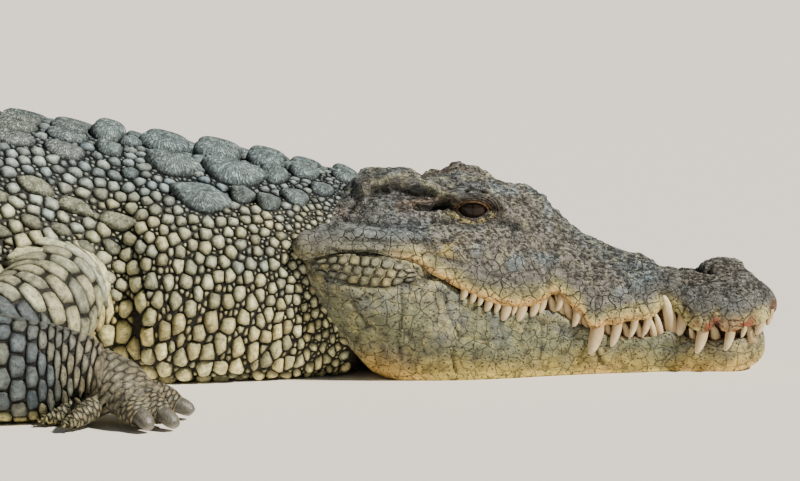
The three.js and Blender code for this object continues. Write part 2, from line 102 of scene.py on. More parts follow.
# Lower jaw: back, then side and height of the top edge, the widest line and the foot.
JAW_STATIONS = [
    [0, 44, 46, 46, 34, 32, 0],
    [60, 46, 44, 49, 30, 42, 0],
    [102, 46, 41, 49, 26, 42, 0],
    [139, 43, 51, 47, 30, 41, 0],
    [160, 48, 45, 52, 28, 46, 0],
    [215, 65, 51, 66, 32, 56, 0],
    [250, 71, 64, 73, 40, 64, 0],
    [286, 79, 82, 85, 48, 74, 0],
    [350, 98, 86, 108, 52, 94, 0],
    [385, 108, 103, 120, 58, 102, 0],
    [405, 116, 115, 127, 64, 105, 0],
    [419, 121, 124, 131, 67, 106, 0],
    [436, 128, 134.5, 135, 70, 107, 0],
    [450, 132, 146, 138, 76, 106, 0],
    [474, 138, 154, 142, 84, 104, 0],
    [500, 144, 160, 144, 90, 92, 6],
    [534, 145, 162, 142, 100, 96, 40],
    [562, 137, 159, 132, 112, 90, 68],
    [586, 123, 160, 118, 135, 80, 105],
    [604, 90, 170, 88, 160, 60, 150],
]
# Neck, trunk and tail: back, half width, top, height of the widest line, half width below.
BODY_STATIONS = [
    [505, 96, 234, 120, 60],
    [538, 107, 251, 114, 70],
    [560, 114, 256, 110, 76],
    [600, 128, 262, 104, 88],
    [660, 146, 270, 100, 100],
    [720, 160, 279, 98, 110],
    [780, 172, 288, 98, 118],
    [805, 158, 293, 100, 110],
    [850, 166, 303, 110, 112],
    [950, 204, 319, 124, 128],
    [1100, 238, 332, 128, 160],
    [1300, 264, 340, 130, 190],
    [1500, 262, 336, 128, 190],
    [1700, 226, 322, 126, 150],
    [1800, 192, 306, 124, 120],
    [1900, 162, 284, 118, 92],
    [2100, 134, 244, 104, 70],
    [2400, 102, 192, 84, 50],
    [2700, 74, 148, 66, 36],
    [3000, 50, 110, 50, 24],
    [3300, 29, 74, 34, 14],
    [3540, 12, 38, 18, 7],
    [3600, 4, 16, 8, 2],
]
TAIL_BENDS = [[1700, 0], [2300, 24], [2900, 16], [3600, -26]]

# Legs: back, side, height, half width and half height of each joint.
UPPER_ARM = [
    [884, 130, 122, 62, 66],
    [890, 190, 110, 62, 66],
    [905, 240, 98, 60, 64],
    [938, 290, 88, 58, 62],
    [978, 330, 80, 54, 58],
    [1012, 348, 74, 40, 48],
]
FOREARM = [
    [1040, 352, 66, 36, 44],
    [1022, 358, 60, 54, 62],
    [975, 364, 58, 56, 64],
    [905, 366, 58, 52, 62],
    [845, 364, 58, 42, 48],
    [812, 364, 54, 37, 36],
]
PALM = [
    [820, 364, 54, 34, 34],
    [796, 372, 46, 40, 32],
    [780, 382, 34, 42, 28],
    [764, 388, 24, 36, 20],
]
FINGERS = [
    [[784, 362, 32, 19, 20], [758, 354, 28, 20, 20], [736, 356, 21, 18, 18], [724, 358, 15, 13, 13]],
    [[780, 380, 32, 19, 21], [762, 396, 28, 20, 21], [746, 409, 21, 19, 18], [735, 418, 15, 13.5, 13]],
    [[786, 392, 32, 20, 22], [778, 409, 28, 21, 21], [769, 421, 20, 20, 18], [761, 430, 15, 15, 14]],
    [[804, 388, 28, 15, 16], [822, 412, 20, 14, 15], [838, 430, 12, 10, 11], [850, 444, 7, 4, 5]],
    [[816, 378, 26, 15, 16], [840, 390, 18, 14, 15], [862, 400, 11, 10, 10], [882, 408, 6, 4, 4]],
]
THIGH = [
    [1800, 90, 140, 96, 96],
    [1775, 170, 134, 88, 90],
    [1730, 240, 124, 78, 82],
    [1688, 290, 114, 66, 72],
    [1660, 318, 104, 46, 52],
]
SHIN = [
    [1632, 318, 92, 34, 44],
    [1650, 328, 84, 54, 62],
    [1700, 352, 68, 54, 62],
    [1755, 380, 48, 42, 50],
    [1800, 402, 36, 32, 38],
    [1822, 408, 33, 22, 28],
]
SOLE = [
    [1838, 402, 30, 20, 24],
    [1800, 424, 30, 32, 30],
    [1760, 436, 28, 38, 26],
    [1720, 444, 24, 46, 22],
    [1694, 450, 20, 48, 17],
]
TOES = [
    [[1706, 414, 20, 13, 15], [1670, 404, 19, 12, 13], [1632, 398, 14, 10, 11]],
    [[1702, 436, 20, 13, 15], [1655, 436, 19, 12, 14], [1610, 438, 14, 11, 12]],
    [[1702, 462, 20, 13, 15], [1660, 474, 19, 12, 14], [1618, 485, 14, 11, 12]],
    [[1710, 484, 18, 11, 12], [1680, 506, 15, 10, 11], [1650, 526, 8, 5, 6]],
]


def smooth(rows):
    """A curve through the stations that never overshoots them, as in the solids."""
    table = np.array(rows, float)
    x, y = table[:, 0], table[:, 1:]
    chord = np.diff(y, axis=0) / np.diff(x)[:, None]
    before = np.vstack([chord[:1], chord])
    after = np.vstack([chord, chord[-1:]])
    total = np.where(before * after > 0, before + after, 1)
    slope = np.where(before * after > 0, 2 * before * after / total, 0)

    def at(value):
        value = np.clip(np.atleast_1d(np.asarray(value, float)), x[0], x[-1])
        i = np.clip(np.searchsorted(x, value) - 1, 0, len(x) - 2)
        width = (x[i + 1] - x[i])[:, None]
        u = (value - x[i])[:, None] / width
        rise = (3 - 2 * u) * u * u
        lead = slope[i] * width * u * (1 - u) ** 2
        trail = slope[i + 1] * width * u * u * (1 - u)
        return y[i] + (y[i + 1] - y[i]) * rise + lead - trail

    return at


def step(low, high, value):
    """0 below low, 1 above high, with a smooth rise between; the edges may be given reversed."""
    t = np.clip((value - low) / (high - low), 0, 1)
    return t * t * (3 - 2 * t)


head_at, lip_at, jaw_at = smooth(HEAD_STATIONS), smooth(LIP_LINE), smooth(JAW_STATIONS)
body_at, heading_at = smooth(BODY_STATIONS), smooth(TAIL_BENDS)

BODY_END = 3600
AXIS_STEP = 10
axis_back = np.arange(0, BODY_END + 1, AXIS_STEP)
axis_heading = np.radians(heading_at(axis_back)[:, 0])
axis_x = SNOUT_X - np.concatenate([[0], np.cumsum(AXIS_STEP * np.cos(axis_heading[1:]))])
axis_y = np.concatenate([[0], np.cumsum(AXIS_STEP * np.sin(axis_heading[1:]))])


def place(back, side, z):
    """Points in the object's frame, from their places along and beside the bending axis."""
    heading = np.interp(back, axis_back, axis_heading)
    x = np.interp(back, axis_back, axis_x) + side * np.sin(heading)
    y = np.interp(back, axis_back, axis_y) + side * np.cos(heading)
    return np.stack(np.broadcast_arrays(x, y, z), -1)


def through(points, counts):
    """Centripetal Catmull-Rom curves through rows of points, with counts[i] steps in span i."""
    ends = [2 * points[:, 0] - points[:, 1], *points.swapaxes(0, 1), 2 * points[:, -1] - points[:, -2]]
    parts = []
    for i, count in enumerate(counts):
        p0, p1, p2, p3 = ends[i : i + 4]
        d0, d1, d2 = (
            np.maximum(np.linalg.norm(b - a, axis=1), 1e-6)[:, None] ** 0.5
            for a, b in ((p0, p1), (p1, p2), (p2, p3))
        )
        t1 = ((p1 - p0) / d0 - (p2 - p0) / (d0 + d1) + (p2 - p1) / d1) * d1
        t2 = ((p2 - p1) / d1 - (p3 - p1) / (d1 + d2) + (p3 - p2) / d2) * d1
        for k in range(count):
            u = k / count
            parts.append(
                p1 * (2 * u**3 - 3 * u**2 + 1)
                + p2 * (3 * u**2 - 2 * u**3)
                + t1 * (u**3 - 2 * u**2 + u)
                + t2 * (u**3 - u**2)
            )
    parts.append(points[:, -1])
    return np.stack(parts, 1)


def straight(start, end, count):
    """Points on the way from start to end, the end included and the start not."""
    share = np.arange(1, count + 1)[None, :, None] / count
    return start[:, None] + (end - start)[:, None] * share


def round_off(back, length):
    """How far a front end is rounded off: 0 at its tip, 1 where it has its full section."""
    return np.sqrt(1 - (1 - np.clip(back / length, 0, 1)) ** 2)


def mouth_open(back):
    """1 along the lips that stand open a little, 0 behind the corner of the mouth."""
    return 1 - step(MOUTH_CORNER - 90, MOUTH_CORNER, back)


def pair(side, z):
    return np.stack(np.broadcast_arrays(side, z), -1)


def tip_rounded(half, share, tip_z):
    """Half outlines drawn in towards a front tip at this height, each to its share."""
    half[..., 0] *= share[:, None]
    half[..., 1] = tip_z + (half[..., 1] - tip_z) * share[:, None]
    return half


def full_rings(half, back):
    """Half outlines are mirrored into whole rings, as (rings, points, 3) in millimetres."""
    left = place(back[:, None], half[..., 0], half[..., 1])
    right = place(back[:, None], -half[:, -2:0:-1, 0], half[:, -2:0:-1, 1])
    return np.concatenate([left, right], 1)


def ring_quads(rings, count, closing=False):
    """Quads between neighbouring rings of points, and from the last to the first if it closes."""
    r, k = np.meshgrid(np.arange(rings if closing else rings - 1), np.arange(count), indexing="ij")
    here, beyond, turned = r * count, (r + 1) % rings * count, (k + 1) % count
    return np.stack([here + k, here + turned, beyond + turned, beyond + k], -1).reshape(-1, 4)


def end_fans(rings, count):
    """A fan of triangles at each end of a tube, round an added middle point."""
    k = np.arange(count)
    turned = (k + 1) % count
    last = (rings - 1) * count
    front = np.stack([turned, k, np.full(count, rings * count)], -1)
    rear = np.stack([last + k, last + turned, np.full(count, rings * count + 1)], -1)
    return np.concatenate([front, rear])


def tube(rings):
    """Points and faces of a closed tube through rings of points, facing outwards."""
    count = rings.shape[1]
    points = np.concatenate([rings.reshape(-1, 3), rings[:1].mean(1), rings[-1:].mean(1)])
    quads, fans = ring_quads(len(rings), count), end_fans(len(rings), count)
    a, b, c = points[quads[:, 0]], points[quads[:, 1]], points[quads[:, 2]]
    if np.einsum("ij,ij", a, np.cross(b, c)) < 0:
        quads, fans = quads[:, ::-1], fans[:, ::-1]
    return points, [*quads.tolist(), *fans.tolist()]


def make_object(name, points, faces):
    """A smooth-shaded mesh object at the origin, from points in millimetres."""
    mesh = bpy.data.meshes.new(name)
    mesh.from_pydata((np.asarray(points) * MM).tolist(), [], faces)
    mesh.shade_smooth()
    made = bpy.data.objects.new(name, mesh)
    bpy.context.collection.objects.link(made)
    return made


def points_of(made):
    """The places of a mesh's points, in millimetres."""
    flat = np.empty(len(made.data.vertices) * 3)
    made.data.vertices.foreach_get("co", flat)
    return flat.reshape(-1, 3) / MM


def normals_of(made):
    flat = np.empty(len(made.data.vertices) * 3)
    made.data.vertices.foreach_get("normal", flat)
    return flat.reshape(-1, 3)


def select_only(*objects):
    bpy.ops.object.select_all(action="DESELECT")
    for each in objects:
        each.select_set(True)
    bpy.context.view_layer.objects.active = objects[0]


def join(name, objects):
    """Joins objects into one with this name."""
    select_only(*objects)
    bpy.ops.object.join()
    objects[0].name = name
    objects[0].data.name = name
    return objects[0]


def grow_together(name, objects, voxel):
    """Shells that cross are turned into one closed skin, whose creases are then eased."""
    made = join(name, objects)
    remesh = made.modifiers.new("grow", "REMESH")
    remesh.mode = "VOXEL"
    remesh.voxel_size = voxel * MM
    ease = made.modifiers.new("ease", "SMOOTH")
    ease.factor = 0.5
    ease.iterations = 2
    for step_name in ("grow", "ease"):
        bpy.ops.object.modifier_apply(modifier=step_name)
    made.data.shade_smooth()
    return made


LATTICE = np.random.default_rng(11).random((64, 64, 64))


def noise(points, size, seed=0):
    """Smooth noise from 0 to 1 with lumps of this size, a number or one for each axis."""
    q = points / size + 13.7 * seed + 500
    cell = np.floor(q).astype(int)
    f = q - cell
    f = f * f * (3 - 2 * f)
    total = 0
    for corner in np.ndindex(2, 2, 2):
        weight = np.prod(np.where(corner, f, 1 - f), axis=-1)
        i = (cell + corner) % 64
        total = total + weight * LATTICE[i[..., 0], i[..., 1], i[..., 2]]
    return total


def ridges(points, size, seed=0):
    """Sharp-crested noise from 0 to 1, in two octaves."""
    coarse = 1 - np.abs(2 * noise(points, size, seed) - 1)
    fine = 1 - np.abs(2 * noise(points, np.asarray(size) / 2.2, seed + 5) - 1)
    return 0.65 * coarse**2 + 0.35 * fine**2


def hill(u, v, half_u, half_v):
    """A rounded hill, 1 at its top."""
    return np.exp(-((u / half_u) ** 2) - (v / half_v) ** 2)


def near_line(u, v, line, width):
    """1 on a bent line in the plane of u and v, falling off beside it."""
    best = np.full(np.shape(u), np.inf)
    for (u0, v0), (u1, v1) in zip(line, line[1:]):
        du, dv = u1 - u0, v1 - v0
        t = np.clip(((u - u0) * du + (v - v0) * dv) / (du * du + dv * dv), 0, 1)
        best = np.minimum(best, (u - u0 - t * du) ** 2 + (v - v0 - t * dv) ** 2)
    return np.exp(-best / width**2)


def ring_normals(rings):
    """Outward normals of a tube of rings, from its differences along and round it."""
    along = np.gradient(rings, axis=0)
    round_it = np.roll(rings, -1, 1) - np.roll(rings, 1, 1)
    normal = np.cross(along, round_it)
    normal /= np.maximum(np.linalg.norm(normal, axis=-1, keepdims=True), 1e-9)
    outward = rings - rings.mean(1, keepdims=True)
    return normal * np.sign((normal * outward).sum())


# Teeth that show: back, root radius, length.
UPPER_TEETH = [
    [12, 4.5, 12], [25, 6.5, 16], [46, 3.6, 13], [63, 6.2, 25], [97, 7.4, 29], [121, 6.8, 23],
    [165, 5.0, 22], [182, 4.8, 22], [204, 6.4, 28], [229, 9.1, 33], [253, 5.8, 20], [274, 4.6, 18],
    [296, 4.6, 16], [306, 5.8, 16], [322, 6.8, 20], [331, 3.4, 11], [341, 6.8, 20], [352, 4.2, 12],
    [363, 5.6, 13], [373, 4.0, 10], [382, 4.4, 11], [393, 5.2, 11],
]  # fmt: skip
LOWER_TEETH = [
    [36, 5, 14], [80, 6.2, 18], [108, 4.5, 15], [134, 8.6, 46], [149, 4.6, 26], [157, 4.4, 24],
    [174, 4.4, 20], [191, 4.4, 18], [214, 4.4, 16], [243, 5.2, 20], [253, 4.8, 24], [264, 6, 26],
    [274, 5, 24], [283, 5.2, 20],
]  # fmt: skip

EYE_BACK = 383
EYE_SIDE = 61
EYE_Z = 208
EYE_RADIUS = 21
PALATE_RISE = 16
FACE_START, FACE_END = 320, 480  # the stretch round eye and ear, which has the closest rings
RING_GAPS = (3.2, 2.3)  # between two rings, elsewhere and there
HEAD_COUNTS = (16, 19, 24, 18)  # points from crown to rim, to temple, to cheek and to lip
JAW_COUNTS = (17, 16)  # points from the top edge to the widest line and to the foot


def head_rings(back):
    """Sections of the upper head, round from the crown to the lip and in under the palate."""
    crown, rim_y, rim_z, temple_y, temple_z, cheek_y, cheek_z, lip_y = head_at(back).T
    lip_z = lip_at(back)[:, 0]
    # a section where the lip hangs lower or higher than its cheek keeps the order of its points
    cheek_z = np.maximum(cheek_z, lip_z + 4)
    corners = [(0 * crown, crown), (rim_y, rim_z), (temple_y, temple_z)]
    corners += [(cheek_y, cheek_z), (lip_y, lip_z)]
    outside = through(np.stack([pair(*c) for c in corners], 1), HEAD_COUNTS)
    open_mouth = mouth_open(back)
    lip_edge = pair(np.maximum(lip_y - 5 - 4 * open_mouth, 1), lip_z - 1 + 2 * open_mouth)
    inner = pair(np.maximum(lip_y - 6 - 12 * open_mouth, 0.5), lip_z + PALATE_RISE * open_mouth + 2)
    palate = pair(0 * crown, lip_z + PALATE_RISE * open_mouth + 3)
    lip = outside[:, -1]
    inside = [straight(lip, lip_edge, 3), straight(lip_edge, inner, 3), straight(inner, palate, 4)]
    half = np.concatenate([outside, *inside], 1)
    return full_rings(tip_rounded(half, round_off(back, SNOUT_ROUND), SNOUT_TIP_Z), back)


def jaw_rings(back):
    """Sections of the lower jaw, from the middle of its top round to the middle below."""
    edge_y, edge_z, side_y, side_z, foot_y, foot_z = jaw_at(back).T
    corners = np.stack([pair(edge_y, edge_z), pair(side_y, side_z), pair(foot_y, foot_z)], 1)
    outside = through(corners, JAW_COUNTS)
    open_mouth = mouth_open(back)
    roof = lip_at(back)[:, 0] + PALATE_RISE * open_mouth + 2
    middle = pair(0 * edge_y, np.maximum(edge_z - 4, roof))
    gum = pair(np.maximum(edge_y - 3 - 2 * open_mouth, 1), edge_z - 1)
    under = pair(0 * edge_y, foot_z)
    ledge = pair(np.maximum(edge_y - 9, 0.5), middle[:, 1])
    parts = [middle[:, None], straight(middle, ledge, 2), straight(ledge, gum, 3)]
    parts.append(straight(gum, outside[:, 0], 3))
    half = np.concatenate([*parts, outside[:, 1:], straight(outside[:, -1], under, 5)], 1)
    return full_rings(tip_rounded(half, round_off(back - CHIN_BACK, CHIN_ROUND), CHIN_Z), back)


def ring_places(start, spread=1.0):
    """Where the rings stand: closest round the eye and where the snout rounds off."""
    wide, close = RING_GAPS[0] * spread, RING_GAPS[1] * spread
    front = start + SNOUT_ROUND * np.linspace(0, 1, 20) ** 1.8
    snout = np.arange(front[-1] + wide, FACE_START, wide)
    face = np.arange(FACE_START, FACE_END, close)
    return np.concatenate([front, snout, face, np.arange(FACE_END, HEAD_REAR + 1, wide)])


# Folds of the head, as lines in the plane of back and height.
SQUAMOSAL_RIDGE = [(411, 220), (422, 228), (436, 236), (452, 241), (470, 247), (492, 245), (516, 233)]
SQUAMOSAL_HOLLOW = [(420, 217), (438, 221), (456, 227), (476, 231), (500, 228)]
EAR_SLIT = [(412, 212.5), (433, 211.5), (452, 210.5)]
EAR_FLAP = [(409, 220), (430, 219.5), (452, 217.5), (474, 214)]
BROW_ROLL = [(411, 217), (402, 226), (388, 230), (371, 228), (357, 221), (347, 210), (340, 198)]
BROW_RIDGES = [[(397, 238), (400, 230)], [(376, 241), (384, 233)], [(362, 236), (366, 230)]]
LOWER_LID_FOLD = [
    (330, 184), (344, 191), (362, 189), (385, 191), (404, 196), (450, 192), (500, 194), (540, 200),
]  # fmt: skip
PREORBITAL_RIDGES = [[(330, 203), (325, 192), (318, 184)], [(318, 200), (310, 190)]]
CHEEK_FOLDS = [
    [(400, 150), (440, 160), (480, 163), (560, 166)],
    [(420, 172), (460, 176), (540, 180)],
    [(520, 222), (540, 200), (560, 190)],
    [(560, 210), (572, 196), (580, 186)],
]
MAXILLA_CRACKS = [
    [(290, 112), (292, 128), (284, 142)],
    [(228, 62), (233, 84), (228, 104), (214, 112)],
    [(160, 74), (168, 92), (188, 104), (196, 120)],
    [(322, 100), (326, 118), (345, 128), (372, 136)],
]
# What stands out or lies in on the side of the head: lift, width and line.
SIDE_LINES = [(4, 3.5, EAR_FLAP), (9, 6.5, BROW_ROLL), (-3.5, 4, LOWER_LID_FOLD)]
SIDE_LINES += [(-2.4, 3, fold) for fold in CHEEK_FOLDS]
SIDE_LINES += [(4, 4, ridge) for ridge in PREORBITAL_RIDGES]
SIDE_LINES += [(-2.2, 2.6, crack) for crack in MAXILLA_CRACKS]
# Bosses of the side: back, height, half length, half height, lift.
SIDE_BUMPS = [
    [330, 199, 6, 7, 5], [323, 189, 5, 6, 4], [422, 165, 10, 7, 5], [407, 161, 9, 7, 5], [427, 176, 8, 6, 3],
    [300, 176, 9, 6, 3], [286, 165, 10, 6, 2.5], [352, 172, 10, 7, 2.5], [270, 150, 10, 8, 2.5],
    [394, 176, 9, 7, 3], [372, 166, 11, 8, 2.5], [446, 180, 9, 7, 2.5], [336, 152, 12, 9, 2.5],
    [492, 213, 26, 13, 9], [588, 165, 13, 15, 11],
]  # fmt: skip
# Bosses of the top: back, side, half length, half width, lift, and the heights where they begin.
TOP_BUMPS = [
    [404, 62, 17, 20, 3.5, 225, 242], [478, 78, 24, 16, 6, 225, 240], [500, 8, 12, 16, 10, 200, 215],
    [334, 50, 9, 8, 3, 130, 160], [312, 49, 9, 8, 5, 130, 160], [293, 49, 9, 8, 6, 130, 160],
    [272, 47, 9, 8, 4.5, 130, 160], [252, 44, 9, 8, 3, 130, 160], [232, 40, 9, 8, 2.5, 130, 160],
]  # fmt: skip
NOSTRIL_SLIT = [(52, 12), (58, 17), (67, 19)]
NOSTRIL_DISC = (70, 27, 31)  # the raised disc round the nostrils: back, half length, half width


def spread_over(rings, back):
    """Distance behind the tip, distance from the axis and height of every point of the rings."""
    return np.broadcast_to(back[:, None], rings.shape[:2]), np.abs(rings[..., 1]), rings[..., 2]


HEAD_ROLL = 0.10  # the skull table leans a little, its right side up
head_back = ring_places(0.6)
rings = head_rings(head_back)
table = step(400, 435, head_back) * step(570, 520, head_back)
rings[..., 2] -= HEAD_ROLL * rings[..., 1] * table[:, None] * step(200, 238, rings[..., 2])
normal = ring_normals(rings)
B, S, Z = spread_over(rings, head_back)
rise = Z - lip_at(head_back)[:, :1]
on_side = step(30, 60, S)
on_top = step(0.35, 0.7, normal[..., 2]) * step(20, 40, rise)
outer = step(-1, 3, rise) * step(-0.75, -0.45, normal[..., 2])
on_table = step(50, 66, S)
ear = near_line(B, Z, EAR_SLIT, 3.2) * on_side
lift = 8 * near_line(B, Z, SQUAMOSAL_RIDGE, 7) * on_table - 9 * ear
lift -= 5 * near_line(B, Z, SQUAMOSAL_HOLLOW, 6) * on_table
for ridge in BROW_RIDGES:
    lift += 2.5 * near_line(B, Z, ridge, 6) * step(20, 40, S)
for height, width, line in SIDE_LINES:
    lift += height * near_line(B, Z, line, width) * on_side
for back, high, long, tall, height in SIDE_BUMPS:
    lift += height * hill(B - back, Z - high, long, tall) * on_side
for back, side, long, wide, height, low, high in TOP_BUMPS:
    lift += height * hill(B - back, S - side, long, wide) * step(low, high, Z)
disc = np.hypot((B - NOSTRIL_DISC[0]) / NOSTRIL_DISC[1], S / NOSTRIL_DISC[2])
above = step(108, 122, Z)
lift += above * (3.5 * step(1.1, 0.85, disc) - 4.5 * np.exp(-(((disc - 1.16) / 0.1) ** 2)))
nostril = above * near_line(B, S, NOSTRIL_SLIT, 3.0)
lift -= 7 * nostril
# The bone of the crown is rugged, least round the brow, and the rest is finely lumpy.
stretched = rings * [0.55, 1, 1]
rugged = step(60, 130, B) * (0.35 + 0.65 * step(560, 380, B))
rugged *= 1 - 0.7 * step(325, 350, B) * step(520, 500, B)
lift += on_top * rugged * 7.5 * (ridges(stretched, 16, 1) - 0.45)
lift += on_top * 3.2 * (ridges(stretched, 8, 4) - 0.5)
lift += outer * 3.4 * (noise(rings, 24, 2) - 0.5)
lift += outer * (1.2 + 2.0 * step(30, 60, rise)) * (ridges(rings, 10, 3) - 0.45)
# The lip swells over each tooth's root and rolls along its edge, and the eye lies in a hollow.
for back, radius, length in UPPER_TEETH:
    root = step(8, 20, length) * 2.6 * radius / 7
    lift += root * hill(B - back, rise - 13, radius * 1.5, 13) * on_side
lift += outer * (1.6 * np.exp(-(((rise - 5) / 5) ** 2)) - 1.1 * np.exp(-(((rise - 17) / 5) ** 2)))
orbit = np.hypot((B - EYE_BACK) / 31, (Z - EYE_Z + 1) / 21)
lift -= 16 * step(1.0, 0.7, orbit) * on_side
lift *= round_off(head_back, SNOUT_ROUND)[:, None] ** 2
rings = rings + normal * lift[..., None]
upper_head = make_object("upper_head", *tube(rings))
# The ear slits and nostrils, which are painted near black as painted shade inside them.
openings = np.append(np.maximum(ear, nostril).ravel(), [0, 0])  # the tube adds two end points

LENS_TOP = [(434, 131), (450, 139), (474, 151), (501, 158), (532, 160), (573, 154), (594, 142)]
LENS_FOOT = [(434, 130), (460, 127), (489, 123), (525, 126), (556, 134), (594, 138)]
JAW_CRACKS = [
    [(598, 150), (560, 112), (530, 104), (505, 112)],
    [(470, 118), (468, 90), (476, 60), (470, 30)],
    [(530, 104), (512, 74), (486, 58)],
    [(420, 112), (412, 84), (400, 60), (408, 34), (404, 12)],
    [(350, 80), (346, 52), (352, 28)],
    [(300, 76), (296, 50), (300, 24)],
    [(236, 52), (230, 30), (222, 14)],
    [(400, 60), (370, 52), (346, 52)],
]
jaw_back = ring_places(CHIN_BACK + 0.6, 1.25)
rings = jaw_rings(jaw_back)
normal = ring_normals(rings)
B, S, Z = spread_over(rings, jaw_back)
edge_z = jaw_at(jaw_back)[:, 1:2]
on_side = step(0.3, 0.6, np.abs(normal[..., 1])) * step(2, 10, Z)
lift = 2.4 * np.exp(-(((edge_z - Z - 6) / 6) ** 2)) * step(460, 420, B)
lens = np.exp(-(((Z - 141) / 14) ** 2)) * step(430, 470, B) * step(600, 570, B)
lift += 3.5 * lens - 3.5 * near_line(B, Z, LENS_FOOT, 4) - 2.5 * near_line(B, Z, LENS_TOP, 4)
for line in JAW_CRACKS:
    lift -= 1.8 * near_line(B, Z, line, 2.4)
for back, radius, length in LOWER_TEETH:
    lift += 2 * hill(B - back, Z - edge_z + 8, radius * 1.6, 9)
lift += 2.8 * (noise(rings, 40, 6) - 0.5) + 1.8 * (ridges(rings, 14, 7) - 0.45)
lift *= on_side * round_off(jaw_back - CHIN_BACK, CHIN_ROUND)[:, None] ** 2
rings = rings + normal * lift[..., None]
lower_head = make_object("lower_head", *tube(rings))

SIDE_COAT = 5  # how deep the scales stand on the sides
TOP_COAT = 8  # and on the back, where they are keeled plates
UNDER_COAT = 3
ROUNDNESS = 2.3
CHEST_TUCK = 10  # how far the chest is drawn in beside the throat and behind the collar
CHEST_START = 640
CHEST_TOP = 225
QUARTER_POINTS = 48
# The collar: its ends, how far its rear edge is rounded off, and how far it draws in and down.
COLLAR_FRONT = 560
COLLAR_REAR = 788
COLLAR_ROUND = 16
COLLAR_IN = 34
COLLAR_DOWN = 40
COLLAR_SINK = 3


def body_outline(back, over_collar=False):
    """Half outlines of the bare body at each place, from the middle of the back to below.

    Over the collar, the chest is drawn in only behind the collar's end.
    """
    wide, top, mid, flat = body_at(back).T[:, :, None]
    back = np.asarray(back, float)[:, None]
    if over_collar:
        tuck = CHEST_TUCK * (back > COLLAR_REAR) * step(860, 800, back)
    else:
        tuck = CHEST_TUCK * step(CHEST_START, CHEST_START + 60, back) * step(840, 800, back)
    slim = step(BODY_END, 3300, back)  # the coat thins towards the tip of the tail
    wide = wide - SIDE_COAT * (0.3 + 0.7 * slim)
    top = top - TOP_COAT * (0.3 + 0.7 * slim)
    turn = np.linspace(0, math.pi / 2, QUARTER_POINTS)[None]
    over = pair(
        wide * np.sin(turn) ** (2 / ROUNDNESS),
        mid + (top - mid) * np.cos(turn) ** (2 / ROUNDNESS),
    )
    turn = turn[:, 1:]
    under = pair(
        flat + (wide - flat) * np.cos(turn),
        UNDER_COAT + (mid - UNDER_COAT) * (1 - np.sin(turn)),
    )
    base = np.stack([pair(flat[:, 0] * share, UNDER_COAT + 0 * flat[:, 0]) for share in (0.66, 0.33, 0)], 1)
    half = np.concatenate([over, under, base], 1)
    half[..., 0] *= 1 - (tuck / wide) * step(CHEST_TOP, 150, half[..., 1])
    return half


def limb_frame(joints, travel):
    """Middle, half sizes and directions of a leg, by the distance travelled along it."""
    joints = np.array(joints, float)
    middle = np.stack([SNOUT_X - joints[:, 0], joints[:, 1], joints[:, 2]], 1)
    length = np.concatenate([[0], np.cumsum(np.linalg.norm(np.diff(middle, axis=0), axis=1))])
    curve = smooth(np.column_stack([length, middle, joints[:, 3:]]))
    travel = np.clip(np.asarray(travel, float), 0, length[-1])
    found = curve(travel)
    along = curve(np.minimum(travel + 4, length[-1]))[:, :3] - curve(np.maximum(travel - 4, 0))[:, :3]
    along /= np.linalg.norm(along, axis=1, keepdims=True)
    across = np.cross([0, 0, 1], along)
    across /= np.linalg.norm(across, axis=1, keepdims=True)
    return found, along, across, np.cross(along, across), length[-1]


LIMB_COAT = 2.5


def limb_point(joints, hand, travel, turn):
    """Points on a bare leg: turn is the angle round it, a quarter turn being its top."""
    found, along, across, up, _ = limb_frame(joints, travel)
    wide = np.maximum(found[:, 3:4] - LIMB_COAT, 2)
    high = np.maximum(found[:, 4:5] - LIMB_COAT, 2)
    turn = np.asarray(turn, float).reshape(-1, 1)
    p = found[:, :3] + across * wide * np.cos(turn) + up * high * np.sin(turn)
    return np.column_stack([p[:, 0], hand * p[:, 1], np.maximum(p[:, 2], LIMB_COAT)])


def limb_tube(joints, hand, spacing=8, count=28):
    """A leg's bare length as a closed tube."""
    total = limb_frame(joints, [0])[-1]
    travel = np.linspace(0, total, max(int(total / spacing), 6))
    turn = 2 * math.pi * np.arange(count) / count
    t, a = np.meshgrid(travel, turn, indexing="ij")
    return tube(limb_point(joints, hand, t.ravel(), a.ravel()).reshape(len(travel), count, 3))


body_back = np.concatenate([np.arange(520, 3580, 12), [3588, 3597]])
half = body_outline(body_back)[:, ::2]
shells = [make_object("body", *tube(full_rings(half, body_back)))]
# The neck's collar hangs over the chest behind it in a rounded fold.
collar_end = COLLAR_REAR - COLLAR_ROUND * np.cos(np.linspace(0, 1.5, 7))
collar_back = np.concatenate([np.arange(COLLAR_FRONT, COLLAR_REAR - COLLAR_ROUND, 10), collar_end])
half = body_outline(collar_back, over_collar=True)[:, ::2]
past = ((collar_back - COLLAR_REAR + COLLAR_ROUND) / COLLAR_ROUND).clip(0)
fold = np.sqrt(np.clip(1 - past**2, 0, 1))[:, None]
half[..., 0] -= (1 - fold) * COLLAR_IN * step(0, 60, half[..., 0])
half[..., 1] -= (COLLAR_SINK + COLLAR_DOWN * (1 - fold)) * step(150, CHEST_TOP, half[..., 1])
shells.append(make_object("collar", *tube(full_rings(half, collar_back))))
for hand in HANDS.values():
    for joints in (UPPER_ARM, FOREARM, THIGH, SHIN):
        shells.append(make_object("leg", *limb_tube(joints, hand)))
TRUNK_VOXEL, PAW_VOXEL = 12, 4
trunk = grow_together("trunk", shells, TRUNK_VOXEL)

paws = []
for hand in HANDS.values():
    for joints, digits in ((PALM, FINGERS), (SOLE, TOES)):
        lengths = [limb_tube(j, hand, 4, 20) for j in (joints, *digits)]
        paws.append(grow_together("paw", [make_object("digit", *t) for t in lengths], PAW_VOXEL))

